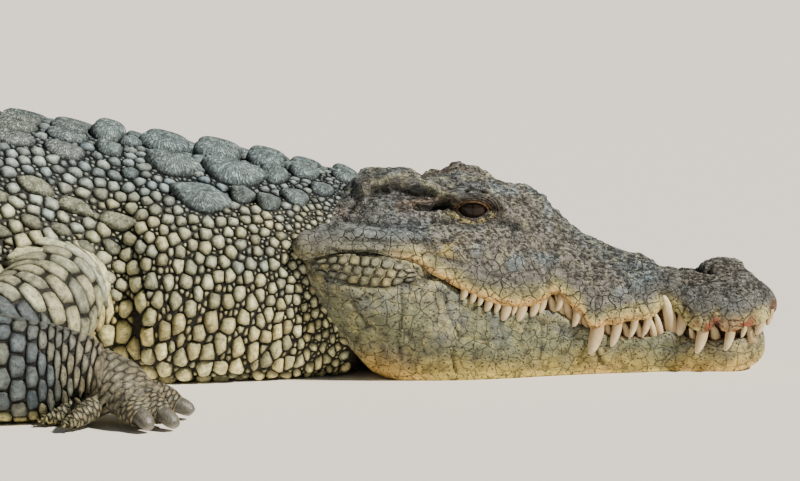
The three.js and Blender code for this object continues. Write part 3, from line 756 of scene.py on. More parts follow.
# The lids: a thick ring of folds round each eye, from the ball out to the brow.
LID_OPENING = (17.8, 9.6)
LID_REACH = (36, 25)
LID_DROP = 1.4
LID_MARGIN = 3.2
LID_POINTS = 80
LID_RINGS = 23
LID_FOLDS = 5.5  # folds from the lid's edge to the brow
head_corners = [tuple(p.vertices) for p in upper_head.data.polygons]
head_tree = BVHTree.FromPolygons([v.co.copy() for v in upper_head.data.vertices], head_corners)


def lid_ring(hand):
    """Rings from the lid's edge on the ball out to the skin, then back beneath it."""
    turn = np.linspace(0, 2 * math.pi, LID_POINTS, endpoint=False)
    shape = pair(np.cos(turn), np.sin(turn) * np.abs(np.sin(turn)) ** 0.25)
    opening = shape * LID_OPENING
    reach = pair(np.cos(turn), np.sin(turn)) * LID_REACH
    base_x, base_z = SNOUT_X - EYE_BACK, EYE_Z - LID_DROP

    def on_ball(flat, radius):
        return EYE_SIDE + np.sqrt(np.maximum(radius**2 - (flat**2).sum(1), 60))

    outer = []
    for p, q in reach:
        start = Vector(((base_x + p) * MM, hand * 0.3, (base_z + q) * MM))
        hit = head_tree.ray_cast(start, Vector((0, -hand, 0)))[0]
        outer.append(abs(hit.y) / MM - 1.2)
    outer = np.array(outer)
    first = opening * 1.14
    low = on_ball(first, EYE_RADIUS + LID_MARGIN)
    layers = [
        (opening * 0.98, on_ball(opening, EYE_RADIUS - 4)),
        (opening, on_ball(opening, EYE_RADIUS + 0.3)),
        (opening * 1.01, on_ball(opening, EYE_RADIUS + 1.7)),
        (opening * 1.05, on_ball(opening, EYE_RADIUS + 2.8)),
    ]
    upper = np.clip(np.sin(turn), 0, 1)
    lower = np.clip(-np.sin(turn), 0, 1)
    for share in np.linspace(0, 1, LID_RINGS):
        outward = share * share * (3 - 2 * share)
        flat = first + (reach - first) * share
        swell = math.sin(math.pi * share) * (2.2 * upper + 1.5 * lower)
        folds = 0.75 * math.cos(2 * math.pi * share * LID_FOLDS) * math.sin(math.pi * share) ** 0.6
        layers.append((flat, low + (outer - low) * outward + swell + folds))
    layers.append((reach * 1.01, outer - 6))
    rows = [
        np.stack([base_x + flat[:, 0], hand * side, base_z + flat[:, 1]], 1) for flat, side in layers
    ]
    return np.stack(rows)


lids = []
for hand in HANDS.values():
    rows = lid_ring(hand)
    quads = ring_quads(len(rows), LID_POINTS, closing=True)
    quads = quads[:, ::-1] if hand < 0 else quads
    lids.append(make_object("lid", rows.reshape(-1, 3), quads.tolist()))


def linear(red, green, blue):
    """A colour given as it looks on a screen, turned into the light it stands for."""
    return np.array([red, green, blue]) ** 2.2


def blend(low, high, share):
    return low + (high - low) * np.asarray(share)[..., None]


OLIVE = linear(0.50, 0.49, 0.40)
GREY = linear(0.47, 0.46, 0.43)
SLATE = linear(0.36, 0.39, 0.40)
BLUE_GREY = linear(0.45, 0.51, 0.53)
DARK = linear(0.17, 0.16, 0.14)
CREAM = linear(0.72, 0.68, 0.44)
TAN = linear(0.78, 0.61, 0.36)
YELLOW = linear(0.68, 0.60, 0.30)
JOWL = linear(0.44, 0.45, 0.35)
BROWN = linear(0.42, 0.31, 0.22)
PALE = linear(0.73, 0.73, 0.59)
SNOUT_GREY = linear(0.34, 0.33, 0.31)
MUZZLE_TAN = linear(0.55, 0.40, 0.30)
MUZZLE_RED = linear(0.45, 0.20, 0.14)
GUM = linear(0.38, 0.29, 0.21)
EYE_SOCKET_SHADE = linear(0.20, 0.17, 0.14)
LID_BROWN = linear(0.50, 0.38, 0.25)
LID_CREAM = linear(0.62, 0.57, 0.38)
EAR_BROWN = linear(0.36, 0.27, 0.20)
BELLY = linear(0.72, 0.70, 0.52)
WRIST = linear(0.46, 0.43, 0.34)
BEND_START = 1650  # the axis is straight as far back as this
BAND_PITCH = 150  # from one dark band of the back and tail to the next


def layered(colour, *layers):
    """A colour with tints laid over it one after another, each by its share."""
    for tint, share in layers:
        colour = blend(colour, tint, share)
    return colour


def nearest_of(points):
    """A tree that finds the nearest of these points."""
    tree = kdtree.KDTree(len(points))
    for i, point in enumerate(points):
        tree.insert(point, i)
    tree.balance()
    return tree


def travel_back(points):
    """The distance behind the snout tip of any point, along the bending axis."""
    nearest = nearest_of([(x, y, 0) for x, y in zip(axis_x, axis_y)])
    bent = points[:, 0] < SNOUT_X - BEND_START
    back = SNOUT_X - points[:, 0]
    back[bent] = [axis_back[nearest.find((x, y, 0))[1]] for x, y in points[bent, :2]]
    return back


def beyond_flank(points, back):
    """How far points lie outside the body's own side, so that the limbs are told from it."""
    return np.abs(points[:, 1] - np.interp(back, axis_back, axis_y)) - body_at(back)[:, 0]


def head_colour(points):
    """Colours of the head: grey above, olive jowls, cream lips and yellow under the jaw, partly painted warm
    light from the floor; painted highlights on the crown and the squamosal roll, painted shade round the
    eye.
    """
    back, side, z = SNOUT_X - points[:, 0], np.abs(points[:, 1]), points[:, 2]
    lip_z = lip_at(back)[:, 0]
    edge_y, edge_z = jaw_at(back).T[:2]
    broad, mottle, fine = noise(points, 60, 21), noise(points, 22, 22), noise(points, 7, 23)
    above = z - lip_z
    lips = step(26, 6, above + 14 * (mottle - 0.5)) * step(-6, 0, above) * step(500, 430, back)
    muzzle = step(125, 100, back) * step(20, 35, back) * step(30, 5, above) * lips
    upper = layered(
        blend(OLIVE, GREY, step(5, 30, above + 20 * (broad - 0.5))) * 0.8,
        (SLATE * 0.75, 0.85 * step(0.42, 0.6, broad) * step(15, 45, above)),
        (BLUE_GREY * 0.9, 0.7 * step(0.52, 0.72, mottle) * step(20, 50, above)),
        # pale flecks over the upper head, painted highlights
        (PALE * 0.8, 0.4 * step(0.6, 0.8, fine) * step(30, 60, above)),
        (SNOUT_GREY, 0.8 * step(150, 90, back) * step(78, 105, z)),
        (BROWN, 0.5 * step(350, 420, back) * step(185, 205, z) * step(0.4, 0.65, mottle)),
        (SLATE, 0.8 * hill(back - 486, z - 222, 45, 24)),
        (BLUE_GREY, 0.5 * hill(back - 500, z - 188, 60, 16)),
        (YELLOW * 0.9, 0.7 * hill(back - 414, z - 163, 22, 12) * step(0.3, 0.6, fine)),
        (CREAM, 0.85 * lips),
        (TAN, 0.9 * step(16, 2, above) * lips * step(120, 200, back)),
        (MUZZLE_TAN, 0.7 * muzzle * step(0.3, 0.6, mottle)),
        (MUZZLE_RED, 0.8 * muzzle * step(0.5, 0.62, fine)),
    )
    jaw = layered(
        blend(JOWL, OLIVE, step(0.4, 0.7, broad)),
        (SLATE, 0.5 * step(0.5, 0.75, mottle) * step(30, 60, z)),
        (CREAM, 0.35 * step(0.55, 0.8, fine)),
        # the yellow and tan low on the jaw are partly its own colour and partly painted warm light thrown up
        # from the floor
        (YELLOW * 1.1, 0.8 * step(38, 6, z + 20 * (mottle - 0.5))),
        (TAN, 0.5 * step(22, 0, z) * step(0.3, 0.7, broad)),
        (BROWN, 0.5 * step(60, 20, back) * step(0.4, 0.6, mottle)),
        (TAN, 0.5 * hill(back - 500, z - 15, 40, 22)),
    )
    jaw_top = np.where(back < MOUTH_CORNER, np.minimum(edge_z, lip_z), edge_z) + 3
    reach = head_at(back)[:, 7] * round_off(back, SNOUT_ROUND)
    palate = step(7, 12, reach - side) * step(lip_z + 15, lip_z + 8, z) * (z > edge_z - 2)
    ledge = step(2, 5, edge_y - side) * step(-3, 1, z - edge_z) * (z < lip_z + 25)
    lid = np.hypot((back - EYE_BACK) / LID_OPENING[0], (z - EYE_Z + LID_DROP) / LID_OPENING[1])
    by_eye = step(55, 65, side)
    lower_lid = step(1.75, 1.5, lid) * step(1.1, 1.25, lid) * by_eye * step(206, 202, z)
    roll = near_line(back, z, SQUAMOSAL_RIDGE, 9) * step(50, 62, side)
    return layered(
        upper,
        (jaw, step(3, -4, z - jaw_top)),
        (GUM, np.maximum(palate, ledge) * step(MOUTH_CORNER, 440, back)),
        # painted shade in the socket round the eye, under the brow
        (EYE_SOCKET_SHADE, 0.8 * step(2.6, 1.5, lid) * by_eye),
        (LID_BROWN, 0.7 * step(1.42, 1.25, lid) * by_eye * step(205, 209, z)),
        (LID_CREAM, 0.85 * lower_lid * step(0.25, 0.5, fine)),
        (EAR_BROWN, 0.6 * near_line(back, z, EAR_FLAP, 7) * step(60, 75, side)),
        # painted highlight on the squamosal roll
        (PALE * 0.62, 0.5 * roll * step(0.35, 0.6, fine)),
    )


def hide_colour(points):
    """Colours of neck, trunk, tail and legs: blue-grey above, pale below, banded behind."""
    back, z = travel_back(points), points[:, 2]
    top = body_at(back)[:, 1]
    side = np.abs(points[:, 1])
    height = np.clip((z - 10) / np.maximum(top - 10, 20), 0, 1)
    on_limb = step(0, 30, beyond_flank(points, back))
    broad, mottle = noise(points, 90, 31), noise(points, 26, 32)
    body = layered(
        blend(BELLY, YELLOW, 0.45 * step(0.4, 0.7, broad)),
        (PALE * 0.8, step(0.15, 0.45, height + 0.16 * (mottle - 0.5))),
        (BLUE_GREY, 0.45 * step(0.5, 0.75, mottle) * step(0.25, 0.5, height)),
        (BLUE_GREY, 0.9 * step(0.66, 0.88, height + 0.2 * (broad - 0.5))),
    )
    limb = np.clip(z / 110, 0, 1)
    shoulder = step(335, 300, side) * step(1100, 1050, back)
    limbs = layered(
        blend(BLUE_GREY * 0.42, PALE * 0.4, step(0.4, 0.75, mottle)),
        (SLATE * 0.62, 0.8 * step(0.5, 0.95, limb)),
        (CREAM * 0.75, step(0.22, 0.05, limb + 0.2 * (mottle - 0.5))),
        (WRIST, 0.8 * step(880, 800, back) * step(300, 330, side)),
        (PALE * 0.52, 0.85 * shoulder * step(0.2, 0.45, mottle)),
    )
    height = height + (0.25 + 0.75 * np.clip(z / 120, 0, 1) - height) * on_limb
    band = 0.5 + 0.5 * np.cos(2 * math.pi * back / BAND_PITCH + 3 * (broad - 0.5))
    band = step(0.5, 0.85, band) * step(900, 1300, back) * step(0.2, 0.5, height)
    return layered(body, (limbs, on_limb), (DARK * 1.6, 0.6 * band))


def paint(made, name, colours):
    """Gives a mesh a colour for each of its points."""
    layer = made.data.attributes.new(name, "FLOAT_COLOR", "POINT")
    values = np.ones((len(made.data.vertices), 4))
    values[:, : colours.shape[1]] = colours
    layer.data.foreach_set("color", values.ravel())


def fill(slot, value):
    """Links a shader's slot to what was worked out, or sets it to a plain value."""
    if isinstance(value, Sock):
        value.tree.links.new(value.socket, slot)
    elif value is not None:
        slot.default_value = value


class Sock:
    """A shader socket that makes Math nodes when it is worked with."""

    def __init__(self, socket):
        self.socket = socket
        self.tree = socket.id_data

    def other(self, output):
        """Another output of the same node."""
        return Sock(self.socket.node.outputs[output])

    def math(self, operation, other=None, flip=False):
        node = self.tree.nodes.new("ShaderNodeMath")
        node.operation = operation
        for slot, value in zip(node.inputs, (other, self) if flip else (self, other)):
            fill(slot, value)
        return Sock(node.outputs[0])

    def __add__(self, other):
        return self.math("ADD", other)

    def __sub__(self, other):
        return self.math("SUBTRACT", other)

    def __rsub__(self, other):
        return self.math("SUBTRACT", other, flip=True)

    def __mul__(self, other):
        return self.math("MULTIPLY", other)

    def __truediv__(self, other):
        return self.math("DIVIDE", other)

    __radd__ = __add__
    __rmul__ = __mul__


class Look:
    """A material being built: node() makes any node, and the rest is worked from its sockets."""

    def __init__(self, name):
        self.material = bpy.data.materials.new(name)
        self.material.use_nodes = True
        self.tree = self.material.node_tree
        self.surface = self.tree.nodes["Principled BSDF"]

    def node(self, kind, settings=None, output=0, **inputs):
        made = self.tree.nodes.new("ShaderNode" + kind)
        for key, value in (settings or {}).items():
            if key == "stops":
                ramp = made.color_ramp.elements
                ramp[0].position, ramp[-1].position = value[0][0], value[-1][0]
                for stop, (_, grey) in zip(ramp, value):
                    stop.color = (grey, grey, grey, 1)
            else:
                setattr(made, key, value)
        for key, value in inputs.items():
            by_number = key[0] == "i" and key[1:].isdigit()
            fill(made.inputs[int(key[1:]) if by_number else key.replace("_", " ")], value)
        return Sock(made.outputs[output])

    def mix(self, low, high, share, blend_type="MIX"):
        """Colours mixed by a share."""
        settings = {"data_type": "RGBA", "blend_type": blend_type, "clamp_factor": True}
        values = [(*v, 1) if isinstance(v, (tuple, list, np.ndarray)) else v for v in (low, high)]
        return self.node("Mix", settings, output=2, i0=share, i6=values[0], i7=values[1])

    def shaded(self, colour, grey):
        """A colour made darker or lighter by a grey, which is 1 where it stays."""
        return self.mix(colour, grey, 1.0, "MULTIPLY")

    def ramp(self, value, *stops):
        return self.node("ValToRGB", {"stops": stops}, Fac=value)

    def set(self, **values):
        for key, value in values.items():
            fill(self.surface.inputs[key.replace("_", " ")], value)

    def bump(self, height, distance):
        return self.node("Bump", Height=height, Distance=distance, Strength=1.0)


def hollows(made, reach):
    """How far each point of a mesh lies below the points around it, in millimetres."""
    points, normals = points_of(made), normals_of(made)
    ends = np.empty(len(made.data.edges) * 2, int)
    made.data.edges.foreach_get("vertices", ends)
    first, second = ends.reshape(-1, 2).T
    here, there = np.concatenate([first, second]), np.concatenate([second, first])
    count = np.bincount(here, minlength=len(points))[:, None]
    level = points
    for _ in range(reach):
        level = np.stack([np.bincount(here, level[there, i], len(points)) for i in range(3)], 1) / count
    return ((level - points) * normals).sum(1)


def relief_of(points, normals):
    """How strongly the head is cracked into plates, wrinkled and pitted, and that it is bare."""
    back, z = SNOUT_X - points[:, 0], points[:, 2]
    above = z - lip_at(back)[:, 0]
    top = step(0.2, 0.6, normals[:, 2]) * step(20, 50, above)
    cracks = 0.35 + 0.55 * step(95, 60, above) + 0.25 * noise(points, 50, 41)
    cracks = cracks * (1 - 0.85 * top) * (0.72 + 0.28 * step(-4, 4, above))
    upper = step(0, 12, above)
    pits = step(100, 60, above) * (0.7 + 0.3 * noise(points, 30, 42))
    rough = np.clip(0.12 + 0.1 * upper + 0.3 * step(50, 100, above) + top, 0, 1)
    return np.stack([np.clip(cracks, 0, 1), rough, pits, 1 + 0 * pits], 1)


# Painted shade in the hollows and painted light on the bumps of head, jaw and lids, by how far each point
# lies below its neighbours.
for part in (upper_head, lower_head, *lids):
    shading = 1 - 0.5 * np.clip(hollows(part, 5), -0.9, 1.6)
    if part is upper_head:
        # painted shade inside the ear slits and nostrils
        shading *= 1 - 0.96 * step(0.15, 0.5, openings)
    paint(part, "hide", head_colour(points_of(part)) * np.clip(shading, 0.03, 1.45)[:, None])
    paint(part, "relief", relief_of(points_of(part), normals_of(part)))
GROOVE = 0.02  # the bare hide between the scales is painted this much darker than they are, as painted shade in the grooves
LEG_GROOVE = 0.05
PAW_GROOVE = 0.35
# The bare trunk and paws between the scales are darkened as painted shade in the grooves.
for part in (trunk, *paws):
    bare = points_of(part)
    on_leg = step(20, 40, beyond_flank(bare, travel_back(bare)))
    groove = GROOVE + (LEG_GROOVE - GROOVE) * on_leg if part is trunk else PAW_GROOVE + 0 * on_leg
    paint(part, "hide", hide_colour(bare) * groove[:, None])
    paint(part, "relief", np.zeros((len(part.data.vertices), 4)))
skin = join("skin", [upper_head, lower_head, trunk, *paws, *lids])

# Sizes of the cracks between plates and flakes and of the pits, with the cracks' width.
PLATE_SIZE, FLAKE_SIZE, PIT_SIZE, CRACK_WIDTH = 15, 7, 5.2, 0.9
# Colours of painted shade in the head's creases, cracks and wrinkles.
CREASE_SHADE = (0.012, 0.010, 0.008)
CRACK_SHADE = (0.012, 0.010, 0.007)
WRINKLE_SHADE = (0.03, 0.026, 0.022)
# the pits are painted nearly black
PIT_DARK = (0.015, 0.012, 0.01)
look = Look("hide")
hide = look.node("Attribute", {"attribute_name": "hide"})
relief = look.node("Attribute", {"attribute_name": "relief"})
crack_share = look.node("SeparateColor", i0=relief)
wrinkle_share, pit_share = crack_share.other(1), crack_share.other(2)
bare = relief.other(3)
where = look.node("TexCoord", output=3)
warp = look.node("TexNoise", {"noise_dimensions": "3D"}, output=1, Vector=where, Scale=38.0, Detail=2.0)
warped = look.node("VectorMath", {"operation": "MULTIPLY_ADD"}, i0=warp, i1=(0.012, 0.012, 0.012), i2=where)


def crack_net(size):
    """A net of cracks round cells of this size, 1 in the cracks."""
    scale = 1 / (size * MM)
    edge = look.node("TexVoronoi", {"feature": "DISTANCE_TO_EDGE"}, Vector=warped, Scale=scale)
    return look.ramp(edge, (0, 1.0), (CRACK_WIDTH / size, 0.0))


drawn_out = look.node("Mapping", Vector=where, Scale=(0.5, 1.0, 1.0))
rough = look.node("TexNoise", Vector=drawn_out, Scale=300.0, Detail=5.0, Roughness=0.6)
patchy = look.node("TexNoise", Vector=where, Scale=30.0, Detail=3.0)
mottle = look.node("TexNoise", Vector=where, Scale=95.0, Detail=5.0)
plates = crack_net(PLATE_SIZE) * look.ramp(patchy, (0.35, 0.55), (0.6, 1.0))
flakes = crack_net(FLAKE_SIZE) * look.ramp(patchy, (0.4, 1.0), (0.65, 0.3))
pit = look.node("TexVoronoi", {"feature": "F1"}, Vector=where, Scale=1 / (PIT_SIZE * MM))
pit = look.ramp(pit, (0.17, 1.0), (0.3, 0.0))
crevice = look.ramp(rough, (0.40, 1.0), (0.49, 0.0))
crest = look.ramp(rough, (0.53, 0.0), (0.66, 1.0))
cracks = plates * crack_share
wrinkles = flakes * wrinkle_share
creases = crevice * (wrinkle_share * 0.95 + 0.12) * bare
pits = pit * pit_share
shade = look.shaded(hide, look.ramp(mottle, (0.3, 0.6), (0.7, 1.4)))
# The crests of the rough bone get a painted highlight, a paler copy of the hide's colour.
crest_highlight = look.node("Gamma", Color=hide, Gamma=0.5)
shade = look.mix(shade, crest_highlight, crest * (wrinkle_share * 0.6 + 0.1) * bare)
# Painted shade in creases, cracks and wrinkles, and dark pits, laid over the colour.
for darker_tone, share in (
    (CREASE_SHADE, creases * 0.8),
    (CRACK_SHADE, cracks * 0.9),
    (WRINKLE_SHADE, wrinkles * 0.5),
    (PIT_DARK, pits * 0.9),
):
    shade = look.mix(shade, darker_tone, share)
height = 1 - cracks * 0.6 - wrinkles * 0.4 - pits * 0.3 - creases * 0.7 + crest * 0.35 + mottle * 0.5
look.set(Base_Color=shade, Roughness=look.ramp(mottle, (0.3, 0.48), (0.7, 0.7)))
look.set(Normal=look.bump(height, 0.0036), Specular_IOR_Level=0.3)
skin.data.materials.clear()
skin.data.materials.append(look.material)
FLESH = ["head", "lower_jaw", "neck", "trunk_front", "trunk_rear", "tail_1", "tail_2", "tail_3", "tail_4"]
FLESH += [
    f"{part}_{hand}" for part in ("upper_arm", "forearm", "hand", "thigh", "shin", "foot") for hand in HANDS
]
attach(skin, "root")
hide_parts(*FLESH)

# ------------------------------------------------------------------ eyes
# The eyeballs: brown balls behind a clear wet front, set in the lids. The slit pupil stands
# upright. Glass eyes are blown with their colours inside; here the iris is drawn by its distance
# from the middle of the ball as seen from the side.
IRIS_SIZE = 12
SLIT_SHAPE = (6.5, 0, 1.35)  # the iris is this many times as long and as tall as the pupil
for name, hand in HANDS.items():
    bpy.ops.object.select_all(action="DESELECT")
    centre = (SNOUT_X - EYE_BACK, hand * EYE_SIDE, EYE_Z)
    bpy.ops.mesh.primitive_uv_sphere_add(
        segments=64, ring_count=40, radius=EYE_RADIUS * MM, location=[c * MM for c in centre],
        rotation=(math.radians(90), 0, 0),
    )  # fmt: skip
    ball = bpy.context.object
    ball.name = "eyeball_" + name
    bpy.ops.object.transform_apply(location=True, rotation=True, scale=True)
    ball.data.shade_smooth()
    look = Look("eye_" + name)
    where = look.node("TexCoord", output=3)
    middle = (-centre[0] / IRIS_SIZE, 0, -(centre[2] - 1) / IRIS_SIZE)
    across = 1 / (IRIS_SIZE * MM)
    from_pupil = look.node("Mapping", Vector=where, Location=middle, Scale=(across, 0, across))
    far = look.node("VectorMath", {"operation": "LENGTH"}, output=1, i0=from_pupil)
    slit = look.node("VectorMath", {"operation": "MULTIPLY"}, i0=from_pupil, i1=SLIT_SHAPE)
    slit = look.node("VectorMath", {"operation": "LENGTH"}, output=1, i0=slit)
    rays = look.node("TexNoise", Vector=where, Scale=900.0, Detail=3.0)
    iris = look.mix((0.006, 0.004, 0.003), (0.022, 0.013, 0.007), rays)
    colour = look.mix(iris, (0.02, 0.012, 0.008), look.ramp(far, (0.9, 0.0), (1.15, 1.0)))
    colour = look.mix(colour, (0.003, 0.003, 0.003), look.ramp(slit, (0.85, 1.0), (1.0, 0.0)))
    look.set(Base_Color=colour, Roughness=0.25, Coat_Weight=0.22, Coat_Roughness=0.03)
    look.set(Specular_IOR_Level=0.1)
    ball.data.materials.append(look.material)
    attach(ball, "root")
    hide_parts("eye_" + name)

# ------------------------------------------------------------------ teeth
# The teeth: ivory cones set in the jaws, stained at the root and worn blunt at the tip. Upper
# ones hang outside the lower jaw, and the big fourth lower one stands in its notch.


TOOTH_SIDES = 12
# Share of the length, from the root in the gum to the tip, and of the root's radius.
TOOTH_RINGS = np.array([
    [-0.35, 0.96], [0, 1.0], [0.18, 1.0], [0.36, 0.97], [0.54, 0.9], [0.7, 0.79], [0.84, 0.62],
    [0.94, 0.42], [0.99, 0.2],
])  # fmt: skip


def tooth(back, side, z, radius, length, down, lean, hand):
    """A curved cone as rings: it leans back a little and its section is oval."""
    turn = 2 * math.pi * np.arange(TOOTH_SIDES) / TOOTH_SIDES
    t, a = np.meshgrid(np.arange(len(TOOTH_RINGS)), turn, indexing="ij")
    s, w = TOOTH_RINGS[t, 0], TOOTH_RINGS[t, 1] * radius
    bend = length * (0.08 * s + 0.16 * s * np.abs(s))
    b = back + bend + w * np.cos(a)
    y = side + lean * s + 0.85 * w * np.sin(a)
    return tube(place(b, hand * y, z - down * length * s))


teeth = []
for hand in HANDS.values():
    for back, radius, length in UPPER_TEETH:
        f = round_off(np.array([back]), SNOUT_ROUND)[0]
        lip_y, lip_z = head_at(back)[0, 7], lip_at(back)[0, 0]
        side = max(lip_y * f - radius * 0.75, 3)
        z = SNOUT_TIP_Z + (lip_z - SNOUT_TIP_Z) * f + 3
        teeth.append(tooth(back, side, z, radius, length + 3, 1, 1.5, hand))
    for back, radius, length in LOWER_TEETH:
        edge_y, edge_z = jaw_at(back)[0, :2]
        side, lean = edge_y - 0.5 * radius, 0.35 * radius
        teeth.append(tooth(back, side, edge_z - 3, radius, length + 3, -1, lean, hand))
parts = [make_object("teeth", *each) for each in teeth]
for part in parts:
    height = points_of(part)[:, 2]
    span = np.abs(height - height[:TOOTH_SIDES].mean()) / max(np.ptp(height), 1)
    paint(part, "tip", np.repeat(span[:, None], 3, 1))
teeth = join("teeth", parts)
look = Look("ivory")
where = look.node("TexCoord", output=3)
tip = look.node("Attribute", {"attribute_name": "tip"})
stain = look.node("TexNoise", Vector=where, Scale=160.0, Detail=4.0)
streaks = look.node("Mapping", Vector=where, Scale=(900.0, 900.0, 60.0))
streaks = look.node("TexNoise", Vector=streaks, Scale=1.0, Detail=2.0)
ivory = look.mix((0.38, 0.25, 0.11), (0.68, 0.54, 0.31), look.ramp(tip, (0.3, 0.0), (0.8, 1.0)))
ivory = look.mix(ivory, (0.26, 0.18, 0.09), look.ramp(stain, (0.5, 0.0), (0.75, 0.6)))
look.set(Base_Color=look.mix(ivory, (0.70, 0.61, 0.43), streaks * 0.3))
look.set(Roughness=0.45, Specular_IOR_Level=0.35, Normal=look.bump(streaks, 0.0004))
teeth.data.materials.append(look.material)
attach(teeth, "root")
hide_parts("head", "lower_jaw")

# ------------------------------------------------------------------ claws
# The claws: three blunt grey horn sheaths on each paw, curved down, worn pale at the tip and
# ringed by growth lines. Each grows out of the end of its finger or toe.
CLAWS = {
    "finger": [
        [[733, 357, 19, 12, 11], [723, 359, 17, 13, 12], [714, 361, 13, 12, 11], [709, 363, 9, 9, 8]],
        [[744, 412, 20, 12, 12], [735, 421, 17, 13, 12], [727, 428, 12, 12, 11], [723, 433, 8, 9, 8]],
        [[768, 423, 20, 12, 12], [760, 432, 17, 13, 12.5], [754, 440, 12, 12, 11], [751, 445, 8, 9, 8]],
    ],
    "toe": [
        [[1640, 398, 15, 9, 9], [1626, 397, 13, 8, 8], [1612, 395.5, 8, 5, 5], [1606, 395, 5, 3, 3]],
        [[1618, 438, 15, 10, 10], [1603, 438.5, 13, 9, 9], [1589, 440.5, 8, 5.5, 5.5], [1582, 441, 5, 3, 3]],
        [[1626, 483, 15, 10, 10], [1611, 487, 13, 9, 9], [1598, 491.5, 8, 5.5, 5.5], [1592, 494, 5, 3, 3]],
    ],
}
for kind, sheaths in CLAWS.items():
    parts = []
    for hand in HANDS.values():
        for joints in sheaths:
            parts.append(make_object("claw", *limb_tube(joints, hand, 1.6, 20)))
    claws = join(f"{kind}_claws", parts)
    look = Look(f"{kind}_claw_horn")
    where = look.node("TexCoord", output=3)
    lines = look.node("Mapping", Vector=where, Scale=(420.0, 60.0, 260.0))
    lines = look.node("TexNoise", Vector=lines, Scale=1.0, Detail=3.0)
    wear = look.node("TexNoise", Vector=where, Scale=110.0, Detail=4.0)
    low = look.node("SeparateXYZ", output=2, Vector=where)
    horn = look.mix((0.048, 0.048, 0.038), (0.115, 0.113, 0.09), lines)
    horn = look.mix(horn, (0.18, 0.16, 0.125), look.ramp(wear, (0.45, 0.0), (0.7, 0.6)))
    horn = look.mix(horn, (0.40, 0.37, 0.29), look.ramp(low / 0.02, (0.2, 0.7), (0.5, 0.0)))
    look.set(Base_Color=horn, Roughness=look.ramp(wear, (0.3, 0.32), (0.7, 0.55)))
    look.set(Normal=look.bump(lines, 0.0010))
    claws.data.materials.append(look.material)
    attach(claws, "root")
    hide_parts(*[f"{kind}_claw_{i}_{hand}" for i in (1, 2, 3) for hand in HANDS])

# ------------------------------------------------------------------ scales of the neck
# Oval pebbles of horn in the skin of neck and shoulders, packed with small granules between,
# longest low down where the neck folds over the chest. Each is a low dome rooted in the hide,
# and its outline gives way to its neighbours'.

skin_normals = normals_of(skin)
skin_corners = [tuple(p.vertices) for p in skin.data.polygons]
skin_tree = BVHTree.FromPolygons(points_of(skin).tolist(), skin_corners)
NEIGHBOURS = 14
HIDDEN = 7  # a root further than this from the skin lies inside another part
laid = {"points": np.zeros((0, 3)), "size": np.zeros(0)}
SCALE_PIT_SIZE = 5.5
WHOLE_UNWRAP = 3720  # millimetres of skin across the whole unwrap
SHARPNESS = 24  # how sharp the corners between two borders are
UNROLL_MOST, UNROLL_POWER = 1.5, 1.6  # how a way round a limb is lengthened
RIM_SIZE = 8  # a scale of this size has painted shade and dirt over a fixed share of its width at the rim
PATCH = 0.0015  # half the width of one scale's patch on the unwrap

# Rings of a scale: share of its width, share of its height.
PEBBLE = [(0.45, 0.93), (0.75, 0.7), (0.93, 0.33), (1.0, -0.35)]
GRANULE = [(0.68, 0.78), (1.0, -0.3)]
SCUTE = [(0.2, 1.0), (0.42, 0.95), (0.62, 0.85), (0.8, 0.65), (0.93, 0.35), (1.0, -0.3)]


def on_skin(points):
    """Places and normals of the skin nearest to these points, and how far off it is."""
    place_of, normal_of, off = np.empty_like(points), np.empty_like(points), np.empty(len(points))
    for i, p in enumerate(points):
        near, _, face, distance = skin_tree.find_nearest(Vector(p))
        place_of[i], off[i] = near, distance
        normal_of[i] = skin_normals[list(skin_corners[face])].mean(0)
    return place_of, normal_of / np.linalg.norm(normal_of, axis=1, keepdims=True), off


def unit(vectors):
    return vectors / np.maximum(np.linalg.norm(vectors, axis=-1, keepdims=True), 1e-9)


